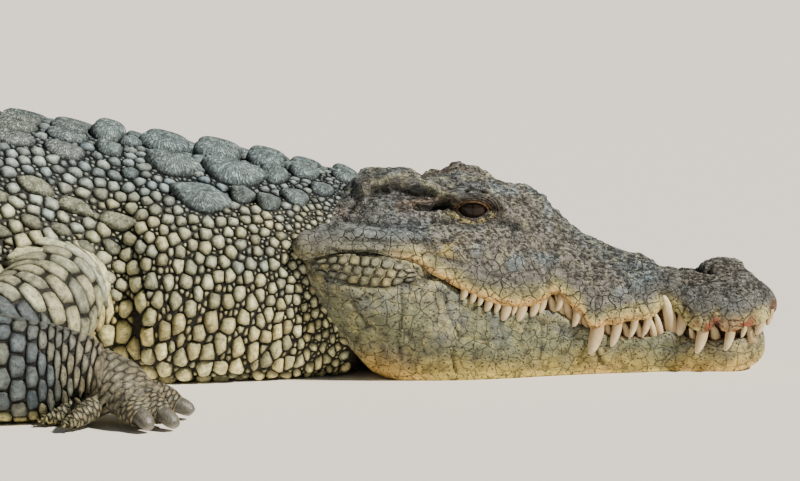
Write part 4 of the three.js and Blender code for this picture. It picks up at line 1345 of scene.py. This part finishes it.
def lay_scales(name, seats, half, height, keel, colours, rings, sides, gap, square, grown=1.0, beside=None):
    """A mesh of scales standing on the skin.

    seats holds their roots, the way to the tail at each and its place on the unwrap, half the
    half lengths along and across. rings is the profile, sides the corners of an outline and
    square how square it is. Between two scales a gap is left, and free sides grow by a share.
    beside holds roots and sizes of scales that are laid later.
    """
    roots, along, flat = seats
    count = len(roots)
    half = np.broadcast_to(half, (count, 2))
    height, keel = np.broadcast_to(height, count), np.broadcast_to(keel, count)
    root, normal, off = on_skin(roots)
    keep = off < HIDDEN
    root, normal, along, flat = root[keep], normal[keep], along[keep], flat[keep]
    half, height, keel, colours = half[keep], height[keep], keel[keep], colours[keep]
    count = len(root)
    along = unit(along - (along * normal).sum(1)[:, None] * normal)
    across = np.cross(normal, along)
    size = np.sqrt(half.prod(1))
    everyone = np.concatenate([root, laid["points"]])
    sizes = np.concatenate([size, laid["size"]])
    known = len(everyone)
    if beside is not None:
        everyone = np.concatenate([everyone, beside[0]])
        sizes = np.concatenate([sizes, beside[1]])
    tree = nearest_of(everyone)
    near = np.array([[hit[1] for hit in tree.find_n(p, NEIGHBOURS + 1)][1:] for p in root])
    laid["points"], laid["size"] = everyone[:known], sizes[:known]
    apart = everyone[near] - root[:, None]
    u, v = (apart * along[:, None]).sum(2), (apart * across[:, None]).sum(2)
    # ways round a curved limb are longer than they look from above the root
    unrolled = np.linalg.norm(apart, axis=2) / np.maximum(np.hypot(u, v), 1)
    unrolled = np.clip(unrolled, 1, UNROLL_MOST) ** UNROLL_POWER
    u, v = u * unrolled / half[:, :1], v * unrolled / half[:, 1:]
    share = size[:, None] / (size[:, None] + sizes[near])
    border = np.maximum(np.hypot(u, v) * share - gap / 2 / size[:, None], 0.2)
    turn = 2 * math.pi * np.arange(sides) / sides
    border = border / grown
    half = half * grown
    facing = np.cos(turn - np.arctan2(v, u)[..., None])
    limits = np.maximum(facing, 0) / border[..., None]
    own = (np.abs(np.cos(turn)) ** square + np.abs(np.sin(turn)) ** square) ** (1 / square)
    reach = ((limits**SHARPNESS).sum(1) + own**SHARPNESS) ** (-1 / SHARPNESS)
    lu, lv = reach * np.cos(turn), reach * np.sin(turn)
    rim = root[:, None] + along[:, None] * (lu * half[:, :1])[..., None]
    rim = rim + across[:, None] * (lv * half[:, 1:])[..., None]
    seated = on_skin(rim.reshape(-1, 3))[0].reshape(rim.shape) - rim
    most = 0.9 * size[:, None, None]
    seated *= np.minimum(1, most / np.maximum(np.linalg.norm(seated, axis=2, keepdims=True), 1e-6))

    def rise(u, v, share):
        ridge = np.clip(1 - np.abs(v) / 0.5, 0, 1) * np.clip((1 - np.abs(u)) / 0.3, 0, 1)
        ridge = ridge * (0.35 + 0.65 * np.clip((u + 0.9) / 1.4, 0, 1))
        return share * height[:, None] + keel[:, None] * ridge

    top = root + normal * rise(0 * height[:, None], 0 * height[:, None], 1)
    layers, uvs, rims = [top[:, None]], [np.zeros((count, 1, 2))], [np.zeros((count, 1))]
    for f, h in rings:
        p = root[:, None] + (rim - root[:, None]) * f + seated * f * f
        layers.append(p + normal[:, None] * rise(lu * f, lv * f, h)[..., None])
        uvs.append(pair(lu * f, lv * f))
        # how near its rim each ring lies, which the material turns into painted shade and dirt
        rims.append(np.repeat(1 - (1 - f) * size[:, None] / RIM_SIZE, sides, 1))
    points = np.concatenate(layers, 1)
    points[..., 2] = np.maximum(points[..., 2], 0)  # what rests on the floor is pressed flat
    each = points.shape[1]
    local = np.concatenate(uvs, 1)
    edge = np.concatenate(rims, 1)
    k = np.arange(sides)
    turn_on = (k + 1) % sides
    faces = [np.stack([0 * k, 1 + k, 1 + turn_on], 1)]
    for r in range(len(rings) - 1):
        a, b = 1 + r * sides + k, 1 + r * sides + turn_on
        faces += [np.stack([a, a + sides, b + sides], 1), np.stack([a, b + sides, b], 1)]
    last = 1 + (len(rings) - 1) * sides
    faces.append(np.stack([np.full(sides - 2, last), last + k[2:], last + k[1:-1]], 1))
    faces = np.concatenate(faces)
    faces = (faces[None] + each * np.arange(count)[:, None, None]).reshape(-1, 3)
    made = make_object(name, points.reshape(-1, 3), faces.tolist())
    values = np.concatenate([np.repeat(colours[:, None], each, 1), edge[..., None]], 2)
    paint(made, "hide", values.reshape(-1, 4))
    corner = faces.ravel()
    bake = 0.01 + flat[:, None] / WHOLE_UNWRAP + PATCH * np.clip(local, -1, 1)
    for map_name, values in (("OFBake", bake), ("scale", 0.5 + 0.5 * np.clip(local, -1, 1))):
        layer = made.data.uv_layers.new(name=map_name)
        layer.data.foreach_set("uv", values.reshape(-1, 2)[corner].ravel())
    return made


def horn_look(name, pits=0.7, lines=0.0):
    """Horny skin of a scale: mottled, pitted or finely lined outwards, with painted light on its middle and
    painted shade and dirt towards its rim.
    """
    look = Look(name)
    hide = look.node("Attribute", {"attribute_name": "hide"})
    rim = hide.other(3)
    where = look.node("TexCoord", output=3)
    mottle = look.node("TexNoise", Vector=where, Scale=150.0, Detail=5.0)
    fine = look.node("TexNoise", Vector=where, Scale=620.0, Detail=3.0)
    shade = look.shaded(hide, look.ramp(mottle, (0.3, 0.5), (0.7, 1.4)))
    shade = look.shaded(shade, look.ramp(fine, (0.3, 0.72), (0.7, 1.25)))
    height = mottle * 0.6 + fine * 0.4
    if pits:
        pit = look.node("TexVoronoi", {"feature": "F1"}, Vector=where, Scale=1 / (SCALE_PIT_SIZE * MM))
        pit = look.ramp(pit, (0.1, 1.0), (0.18, 0.0)) * pits
        shade = look.mix(shade, (0.02, 0.018, 0.015), pit)
        height = height - pit * 0.5
    if lines:
        scale_map = look.node("UVMap", {"uv_map": "scale"})
        centred = look.node("VectorMath", {"operation": "SUBTRACT"}, i0=scale_map, i1=(0.5, 0.5, 0))
        around = look.node("SeparateXYZ", Vector=centred)
        angle = around.other(1).math("ARCTAN2", around)
        far = look.node("VectorMath", {"operation": "LENGTH"}, output=1, i0=centred)
        spokes = look.node("CombineXYZ", X=angle * 6, Y=far * 6, Z=mottle * 2.0)
        spokes = look.node("TexNoise", Vector=spokes, Scale=2.2, Detail=3.0)
        line = look.ramp(spokes, (0.42, 1.0), (0.56, 0.0)) * lines
        shade = look.mix(shade, look.mix(shade, (0.02, 0.02, 0.02), 0.75), line)
        height = height - line * 1.5
    # Painted light on the middle of each scale and painted shade with dirt towards its rim, darkest as
    # painted shade in the groove at its foot.
    shade = look.shaded(shade, look.ramp(rim, (0.2, 1.35), (0.9, 0.5)))
    edge = look.ramp(rim, (0.91, 0.0), (0.99, 1.0))
    shade = look.mix(shade, (0.008, 0.007, 0.005), edge * 0.95)
    look.set(Base_Color=shade, Roughness=look.ramp(mottle, (0.3, 0.42), (0.7, 0.66)))
    look.set(Normal=look.bump(height, 0.0020), Specular_IOR_Level=0.35)
    return look.material


def finish_scales(made, material, nodes):
    made.data.materials.append(material)
    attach(made, "root")
    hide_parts(*nodes)


def body_point(back, girth):
    """Points on the bare body, girth millimetres round from the middle of the back.
    Girth is positive on the left side and negative on the right."""
    back, girth = np.asarray(back, float), np.asarray(girth, float)
    half = body_outline(back, over_collar=True)
    length = np.cumsum(np.linalg.norm(np.diff(half, axis=1), axis=-1), 1)
    length = np.concatenate([np.zeros((len(back), 1)), length], 1)
    want = np.minimum(np.abs(girth), length[:, -1] * 0.9999)[:, None]
    i = np.clip((length <= want).sum(1) - 1, 0, half.shape[1] - 2)
    row = np.arange(len(back))
    share = (want[:, 0] - length[row, i]) / np.maximum(length[row, i + 1] - length[row, i], 1e-6)
    found = half[row, i] + (half[row, i + 1] - half[row, i]) * share[:, None]
    return place(back, np.sign(girth) * found[:, 0], found[:, 1])


def body_seats(back, girth):
    """Seats on the body: roots, the way to the tail, and places on the unwrap."""
    along = body_point(back + 4, girth) - body_point(back - 4, girth)
    return body_point(back, girth), along, np.column_stack([back, girth + 600])


def varied(colours, rng, amount=0.16):
    """Each scale a little lighter or darker, warmer or cooler than the next."""
    light = 1 + amount * rng.standard_normal((len(colours), 1))
    warm = 1 + 0.04 * rng.standard_normal((len(colours), 1)) * [1, 0.2, -1]
    return np.clip(colours * np.clip(light, 0.55, 1.5) * warm, 0.005, 0.9)


def scatter(span, sizes_at, passes, seed, taken, packing):
    """Places thrown over a stretch of back and girth so that no two scales cross.

    Each pass throws a number of scales, of a share of the size that sizes_at gives for a place.
    """
    rng = np.random.default_rng(seed)
    room = taken
    for tries, low, high in passes:
        b = rng.uniform(*span[:2], tries)
        g = rng.uniform(*span[2:], tries)
        halves = sizes_at(b, g) * rng.uniform(low, high, tries)[:, None]
        used = len(room)
        room = np.concatenate([room, np.zeros((tries, 4))])
        for thrown in np.column_stack([b, g, halves]):
            others = room[:used]
            clear = ((others[:, 0] - thrown[0]) / (others[:, 2] + thrown[2])) ** 2
            clear = clear + ((others[:, 1] - thrown[1]) / (others[:, 3] + thrown[3])) ** 2
            if clear.min() > packing**2:
                room[used] = thrown
                used += 1
        room = room[:used]
    return room[len(taken) :]


# The big scutes of the nape and the pointed ones behind the head: back, girth, half length,
# half width, height, keel.
NAPE_SCUTES = [
    [750, 76, 32, 30, 8, 9],
    [714, 124, 35, 25, 7, 7],
    [676, 70, 41, 30, 8, 10],
    [764, 24, 32, 22, 8, 8],
    [698, 23, 34, 22, 8, 9],
    [638, 24, 27, 20, 7, 8],
    [626, 62, 19, 18, 5, 13],
    [664, 107, 18, 14, 4, 10],
    [632, 108, 16, 14, 4, 10],
    [600, 90, 19, 14, 4, 5],
    [590, 40, 22, 17, 5, 6],
    [568, 68, 17, 14, 4, 5],
    [542, 28, 18, 15, 4, 5],
    [832, 26, 27, 22, 8, 8],
    [828, 66, 19, 17, 6, 6],
    [806, 30, 17, 15, 5, 4],
    [800, 104, 12, 10, 4, 2],
]
# Oval bosses over the shoulder, with brown worn tops.
SHOULDER_BOSSES = [
    [910, 165, 24, 12, 6, 0],
    [862, 171, 23, 11, 6, 0],
    [812, 172, 22, 12, 6, 0],
    [878, 209, 14, 8, 5, 0],
    [912, 213, 14, 9, 5, 0],
    [852, 220, 13, 8, 5, 0],
    [820, 206, 12, 10, 5, 0],
    [955, 196, 18, 10, 5, 0],
    [948, 238, 14, 9, 5, 0],
]
NECK_GIRTHS = smooth([
    [0, 9, 7], [60, 8, 6], [130, 7.5, 6.5], [190, 7.5, 8],
    [250, 8, 11], [310, 9, 14.5], [345, 10, 13], [400, 13, 10],
])  # fmt: skip


def neck_sizes(back, girth):
    """Half length and half width of the biggest pebbles at a place on the neck."""
    halves = NECK_GIRTHS(np.abs(girth))
    near_jaw = 0.55 + 0.45 * step(545, 690, back)
    shoulder = step(790, 815, back)
    low = step(255, 300, np.abs(girth))
    halves = halves * near_jaw[:, None]
    return blend(halves, blend(np.array([9.0, 7.5]), np.array([11.0, 16.0]), low), shoulder)


def pushed_apart(spots, fixed, rounds=14):
    """Scales that stand too close are pushed apart, little by little."""
    places, halves = spots[:, :2].copy(), spots[:, 2:]
    for _ in range(rounds):
        every = np.concatenate([places, fixed[:, :2]])
        wide = np.concatenate([halves, fixed[:, 2:]])
        apart = places[:, None] - every[None]
        room = halves[:, None] + wide[None]
        far = np.sqrt(((apart / room) ** 2).sum(2))
        far[np.arange(len(places)), np.arange(len(places))] = 9
        push = np.clip(1.04 - far, 0, 0.5)[..., None] * apart / np.maximum(far, 0.1)[..., None]
        places += 0.35 * push.sum(1)
    return np.column_stack([places, halves])


def body_scales(name, rows, vary, nodes, surface="pebble", shade=1.0, tint=None, **shape):
    """Scales on the body, from rows of back, girth, half length, half width, height and keel."""
    seats = body_seats(rows[:, 0], rows[:, 1])
    colours = varied(hide_colour(seats[0]) * shade, rng, vary)
    if tint:
        colours = tint(colours)
    made = lay_scales(name, seats, rows[:, 2:4], rows[:, 4], rows[:, 5], colours, **shape)
    finish_scales(made, horn_looks[surface], nodes)


def with_height(rows, height):
    """Rows of places and half sizes with the height of their scales, which have no keel."""
    return np.column_stack([rows, np.broadcast_to(height, len(rows)), np.zeros(len(rows))])


NECK_NODES = ["neck", "trunk_front"]
NECK_SPAN = (540, 966, 4, 398)  # the stretch of back and girth that the pebbles are thrown over
DORSAL_START = 880  # where the rows of the back begin
NAPE_BLUE = linear(0.50, 0.57, 0.58)
horn_looks = {"pebble": horn_look("pebble_horn"), "scute": horn_look("scute_horn", pits=0.25, lines=0.8)}
pebbles = {"big": [], "small": []}
scutes = []
for hand in HANDS.values():
    dorsal = [[b, g, 30, 20] for b in range(DORSAL_START, 1000, 60) for g in (18, 54, 92)]
    fixed = np.array([row[:4] for row in NAPE_SCUTES + SHOULDER_BOSSES] + dorsal, float)
    big = scatter(NECK_SPAN, neck_sizes, [(9000, 0.9, 1.12)], 21 + hand, fixed, 0.84)
    big = pushed_apart(big, fixed)
    passes = [(6000, 0.55, 0.7), (16000, 0.3, 0.4)]
    small = scatter(NECK_SPAN, neck_sizes, passes, 31 + hand, np.concatenate([big, fixed]), 0.88)
    for key, spots in (("big", big), ("small", small)):
        inside = (spots[:, :2] > (540, 3)).all(1) & (spots[:, :2] < (968, 399)).all(1)
        pebbles[key].append(spots[inside] * [1, hand, 1, 1])
    scutes.append(np.array(NAPE_SCUTES + SHOULDER_BOSSES) * [1, hand, 1.0, 1, 1.3, 1.2])
scutes = np.concatenate(scutes)
pebbles = {key: np.concatenate(rows) for key, rows in pebbles.items()}


def laid_later(*keys):
    """Roots and sizes of sets of pebbles, for what is laid before them."""
    rows = np.concatenate([pebbles[key] for key in keys])
    return body_point(rows[:, 0], rows[:, 1]), np.sqrt(rows[:, 2] * rows[:, 3])


def nape_tint(colours):
    """Bluer and more even than the pebbles, with brown worn tops on the bosses."""
    colours = blend(colours, NAPE_BLUE, 0.7)
    boss = scutes[:, 5] == 0
    colours[boss] = blend(colours[boss], PALE, 0.6)
    return colours


rng = np.random.default_rng(5)
body_scales(
    "nape_scutes", scutes, 0.1, NECK_NODES, "scute", tint=nape_tint,
    rings=SCUTE, sides=24, gap=0.9, square=2.4, grown=1.25, beside=laid_later("big", "small"),
)  # fmt: skip
for key, profile, sides, lift, later, tint in (
    ("big", PEBBLE, 14, 0.75, laid_later("small"), None),
    ("small", GRANULE, 7, 0.8, None, lambda colours: colours * 0.6),
):
    rows = pebbles[key]
    body_scales(
        f"neck_scales_{key}", with_height(rows, np.minimum(rows[:, 2:].min(1) * lift, 7)), 0.2,
        NECK_NODES, tint=tint, rings=profile, sides=sides, gap=0.8, square=2.2, grown=1.6, beside=later,
    )  # fmt: skip

# ------------------------------------------------------------------ scutes of the back
# Bony plates in six to eight lengthwise rows down the back, each with a keel that rises to the
# rear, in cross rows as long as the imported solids' own. On the tail they stand up as a crest,
# first double and then single.
TRUNK_SCUTE = 60
TAIL_SCUTE = 66
VENT = 1870
FULL_WIDTH = 150  # rows are drawn in towards the middle where the body's half width is less
TRUNK_NODES = ["trunk_front", "trunk_rear"]
TAIL_NODES = ["tail_1", "tail_2", "tail_3", "tail_4"]
DOUBLE_CREST = smooth([[1800, 8], [2000, 20], [2350, 30], [2600, 26], [2700, 6]])
SINGLE_CREST = smooth([[2560, 4], [2700, 34], [3100, 38], [3450, 24], [3600, 6]])


def drawn_in(back):
    return min(1.0, float(body_at(back)[0, 0]) / FULL_WIDTH)


rows = []
for back in range(DORSAL_START, VENT - 20, TRUNK_SCUTE):
    spread, full = drawn_in(back), 0.6 + 0.4 * float(step(800, 1000, back))
    for girth, keel in ((18, 8), (54, 8), (90, 8), (124, 5)):
        if girth < 124 or 1000 <= back < 1700:
            for hand in HANDS.values():
                rows.append([back, hand * girth * spread, 31, 20 * spread, 5.5, keel * full])
body_scales(
    "back_scutes", np.array(rows), 0.08, TRUNK_NODES, "scute", 1.05,
    rings=SCUTE, sides=16, gap=1.6, square=3.2, grown=1.12,
)  # fmt: skip

rows = []
for n in range(int(VENT / TAIL_SCUTE), int(3570 / TAIL_SCUTE)):
    back = (n + 0.5) * TAIL_SCUTE
    for hand in HANDS.values():
        if back < 2700:
            row = 52 * drawn_in(back)
            rows.append([back, hand * row, 31, 0.36 * row + 5, 5, DOUBLE_CREST(back)[0, 0]])
            rows.append([back, hand * row * 0.33, 31, row * 0.3 + 1, 4, 3])
    if back > 2600:
        rows.append([back, 0.01, 31, 6 + 0.1 * body_at(back)[0, 0], 4, SINGLE_CREST(back)[0, 0]])
body_scales(
    "tail_crest", np.array(rows), 0.08, TAIL_NODES, "scute", 1.05,
    rings=SCUTE, sides=16, gap=2.0, square=3.0,
)  # fmt: skip

# ------------------------------------------------------------------ scales of trunk and tail
# The flanks carry cross rows of oval scales with bosses among them, the belly flat oblong
# shields in straight rows, and the tail whorls of oblong plates, two to each crest scute.
PLATE = [(0.6, 0.99), (0.86, 0.88), (0.96, 0.5), (1.0, -0.35)]
FLANK_PITCH = (25, 23)  # from scale to scale along the body and round it
BELLY_PITCH = (30, 27)

def lattice(start, end, pitch_back, girth_span, pitch_at, jitter):
    """Rows of places across the body from start to end, each row set off from the next."""
    rows = []
    for n, back in enumerate(np.arange(start, end, pitch_back)):
        low, high = girth_span(back)
        pitch = pitch_at(back)
        count = max(int(round((high - low) / pitch)), 1)
        girth = low + (np.arange(count) + 0.5 * (n % 2) + 0.25) * (high - low) / count
        girth = girth + jitter * pitch * rng.uniform(-1, 1, count)
        back_of = back + jitter * pitch_back * rng.uniform(-1, 1, count)
        half = np.full((count, 2), [pitch_back / 2, pitch / 2])
        rows.append(np.column_stack([back_of, girth, half]))
    return np.concatenate(rows)


def half_girth(back):
    half = body_outline(np.atleast_1d(back))
    return float(np.linalg.norm(np.diff(half, axis=1), axis=-1).sum())


def flank_span(back):
    """Girths from the rows of the back down to the belly's edge."""
    top = 146 if 975 < back < 1700 else 114 * drawn_in(back)
    return top, half_girth(back) - (0.55 * float(body_at(back)[0, 3]) + 60)


def belly_span(back):
    return flank_span(back)[1], half_girth(back) - 2


def tail_span(back):
    """Girths from beside the crest down to the middle below."""
    return 68 * drawn_in(back) if back < 2650 else 9.0, half_girth(back) - 1


whorl = TAIL_SCUTE / 2
flank = lattice(962, VENT, FLANK_PITCH[0], flank_span, lambda back: FLANK_PITCH[1], 0.16)
belly = lattice(815, VENT, BELLY_PITCH[0], belly_span, lambda back: BELLY_PITCH[1], 0.03)
tail = lattice(VENT + whorl / 2, 3590, whorl, tail_span, lambda back: 24 if back < 2700 else 17, 0.04)
for name, rows, profile, height, square, nodes in (
    ("flank_scales", flank, PEBBLE, 3.6, 2.6, TRUNK_NODES),
    ("belly_shields", belly, PLATE, 2.6, 4.0, TRUNK_NODES),
    ("tail_scales", tail, PLATE, 3.0, 4.0, TAIL_NODES),
):
    rows = np.concatenate([rows * [1, hand, 1, 1] for hand in HANDS.values()])
    rows[:, 2:] *= 1.25 if name != "flank_scales" else rng.choice([0.9, 1.1, 1.3], (len(rows), 1))
    rows = with_height(rows, height)
    body_scales(name, rows, 0.12, nodes, rings=profile, sides=10, gap=1.8, square=square)

# ------------------------------------------------------------------ scales of the legs
# The upper arm has long curved scales in rings, the forearm six-sided ones, and the wrist narrow
# folds. Fingers and toes are ringed with small plates. The hind legs are like them.


def leg_seats(joints, hand, pitches, island, jitter):
    """Seats and half sizes of rings of scales down a leg, from share, pitch along, pitch round."""
    total = limb_frame(joints, [0])[-1]
    pitch_at = smooth(pitches)
    found = []
    travel, n = 2.0, 0
    while travel < total:
        share = travel / total
        down, round_it = pitch_at(share)[0]
        size = limb_frame(joints, [travel])[0][0, 3:5] - LIMB_COAT
        girth = 2 * math.pi * math.sqrt((size[0] ** 2 + size[1] ** 2) / 2)
        count = max(int(round(girth / round_it)), 3)
        turn = (np.arange(count) + 0.5 * (n % 2)) / count * 2 * math.pi
        turn = turn + jitter * round_it / max(size.mean(), 4) * rng.uniform(-1, 1, count)
        row = np.column_stack([
            travel + jitter * down * rng.uniform(-1, 1, count), turn,
            np.full(count, down / 2), np.full(count, girth / count / 2),
        ])  # fmt: skip
        found.append(row)
        travel += down
        n += 1
    rows = np.concatenate(found)
    roots = limb_point(joints, hand, rows[:, 0], rows[:, 1])
    ahead = limb_point(joints, hand, rows[:, 0] + 3, rows[:, 1])
    behind = limb_point(joints, hand, rows[:, 0] - 3, rows[:, 1])
    around = limb_point(joints, hand, rows[:, 0], rows[:, 1] + 0.04) - limb_point(
        joints, hand, rows[:, 0], rows[:, 1] - 0.04
    )
    along = np.cross(around, np.cross(ahead - behind, around))
    flat = np.column_stack([island[0] + rows[:, 0], island[1] + 40 * rows[:, 1]])
    return (roots, along, flat), rows[:, 2:]


def limb_scales(name, lengths, height, jitter, shade, vary, **shape):
    """Scales on both limbs of a pair, whose lengths give joints, pitches and place on the unwrap."""
    parts = []
    for hand in HANDS.values():
        for joints, pitches, island in lengths:
            island = (island[0], island[1] + 350 * (hand > 0))
            seats, half = leg_seats(joints, hand, pitches, island, jitter)
            colours = varied(hide_colour(seats[0]) * shade, rng, vary)
            parts.append(lay_scales("limb", seats, half, height, 0, colours, PLATE, **shape))
    made = join(f"{name}_scales", parts)
    finish_scales(made, horn_looks["pebble"], [f"{name}_{side_name}" for side_name in HANDS])


LEGS = {
    "upper_arm": (UPPER_ARM, [[0, 17, 36], [0.35, 20, 46], [1, 19, 42]], 3.6),
    "forearm": (FOREARM, [[0, 20, 28], [0.5, 20, 28], [0.66, 12, 27], [0.8, 7.5, 28], [1, 7, 26]], 3.0),
    "thigh": (THIGH, [[0, 20, 22], [1, 18, 24]], 3.6),
    "shin": (SHIN, [[0, 20, 22], [0.6, 20, 22], [1, 10, 20]], 3.2),
}
PALM_PITCH = [[0, 8, 24], [1, 6, 20]]
DIGIT_PITCH = [[0, 5, 15], [1, 4.2, 11]]
for i, (name, (joints, pitches, height)) in enumerate(LEGS.items()):
    lengths = [(joints, pitches, (100 + 700 * i, 1350))]
    limb_scales(name, lengths, height, 0.08, 1.0, 0.12, sides=20, gap=1.5, square=2.2, grown=2.3)
for name, palm, digits, start in (("hand", PALM, FINGERS, 100), ("foot", SOLE, TOES, 1900)):
    lengths = [(palm, PALM_PITCH, (start, 2200))]
    lengths += [(joints, DIGIT_PITCH, (start + 300 * (i + 1), 2200)) for i, joints in enumerate(digits)]
    limb_scales(name, lengths, 1.0, 0.05, 0.95, 0.05, sides=12, gap=0.2, square=3.0, grown=1.8)

# ------------------------------------------------------------------ scales of the mouth corner
# Behind the corner of the mouth the cheek folds into a lens of three rows of small squarish
# scales. The boss behind it belongs to the skin, and the rest of the head is bare and cracked.

def side_seats(back, z, hand):
    """Seats on the side of the head, found by looking in from the side."""
    roots = []
    for b, height_of in zip(back, z):
        start = Vector((SNOUT_X - b, hand * 400, height_of))
        roots.append(skin_tree.ray_cast(start, Vector((0, -hand, 0)))[0])
    roots = np.array(roots)
    flat = np.column_stack([back, 600 + hand * (330 - np.asarray(z))])
    return roots, np.tile([-1.0, 0, 0], (len(roots), 1)), flat


lens_top, lens_foot = smooth(LENS_TOP), smooth(LENS_FOOT)
parts = []
for hand in HANDS.values():
    rows = []
    for n, share in enumerate((0.16, 0.5, 0.84)):
        for b in np.arange(452 + 10 * abs(n - 1), 586 - 12 * abs(n - 1), 13.0):
            b = b + 6 * (n % 2) + rng.uniform(-1.6, 1.6)
            high, low = lens_top(b)[0, 0] - 2, lens_foot(b)[0, 0] + 1
            rows.append([b, high + (low - high) * share, 6.5, (high - low) / 6.2])
    rows = np.array(rows)
    seats = side_seats(rows[:, 0], rows[:, 1], hand)
    colours = varied(head_colour(seats[0]), rng, 0.1)
    parts.append(
        lay_scales("cheek", seats, rows[:, 2:], 2.4, 0, colours, PLATE, 12, gap=1.0, square=2.6, grown=1.4)
    )
made = join("cheek_scales", parts)
finish_scales(made, horn_looks["pebble"], ["head", "lower_jaw"])

# ------------------------------------------------------------------ stage
# A wide pale floor under soft even light: a warm sun from the front right and a cool pale sky.
# The camera looks along +Y at the head from a little above the floor.
FLOOR_COLOUR = (0.80, 0.765, 0.71, 1)
bpy.ops.object.select_all(action="DESELECT")
bpy.ops.mesh.primitive_plane_add(size=600, location=(0, 0, 0))
floor = bpy.context.object
floor.name = "floor"
look = Look("floor")
look.set(Base_Color=FLOOR_COLOUR, Roughness=0.9)
floor.data.materials.append(look.material)

VIEW_WIDTH = 1.0  # metres across the view at the target
VIEW_AWAY = 3.8
VIEW_TILT = 7.5  # degrees below level
SENSOR = 36
TARGET = Vector((0.908, 0, 0.1589))
tilt = math.radians(VIEW_TILT)
camera = bpy.data.objects.new("camera", bpy.data.cameras.new("camera"))
bpy.context.collection.objects.link(camera)
camera.location = TARGET + VIEW_AWAY * Vector((0, -math.cos(tilt), math.sin(tilt)))
camera.rotation_euler = (math.radians(90) - tilt, 0, 0)
camera.data.sensor_width = SENSOR
camera.data.lens = SENSOR * VIEW_AWAY / VIEW_WIDTH
camera.data.clip_end = 500
bpy.context.scene.camera = camera

SUN_FROM = Vector((1.0, -0.5, 1.05))
SUN_POWER, SKY_POWER = 8.2, 0.18
SUN_COLOUR, SKY_COLOUR = (1.0, 0.93, 0.82), (0.86, 0.92, 1.0, 1)
sun = bpy.data.objects.new("sun", bpy.data.lights.new("sun", "SUN"))
bpy.context.collection.objects.link(sun)
sun.rotation_mode = "QUATERNION"
sun.rotation_quaternion = SUN_FROM.to_track_quat("Z", "Y")
sun.data.energy = SUN_POWER
sun.data.angle = math.radians(4)
sun.data.color = SUN_COLOUR
world = bpy.data.worlds.new("sky")
bpy.context.scene.world = world
world.use_nodes = True
sky = world.node_tree.nodes["Background"]
sky.inputs["Color"].default_value = SKY_COLOUR
sky.inputs["Strength"].default_value = SKY_POWER
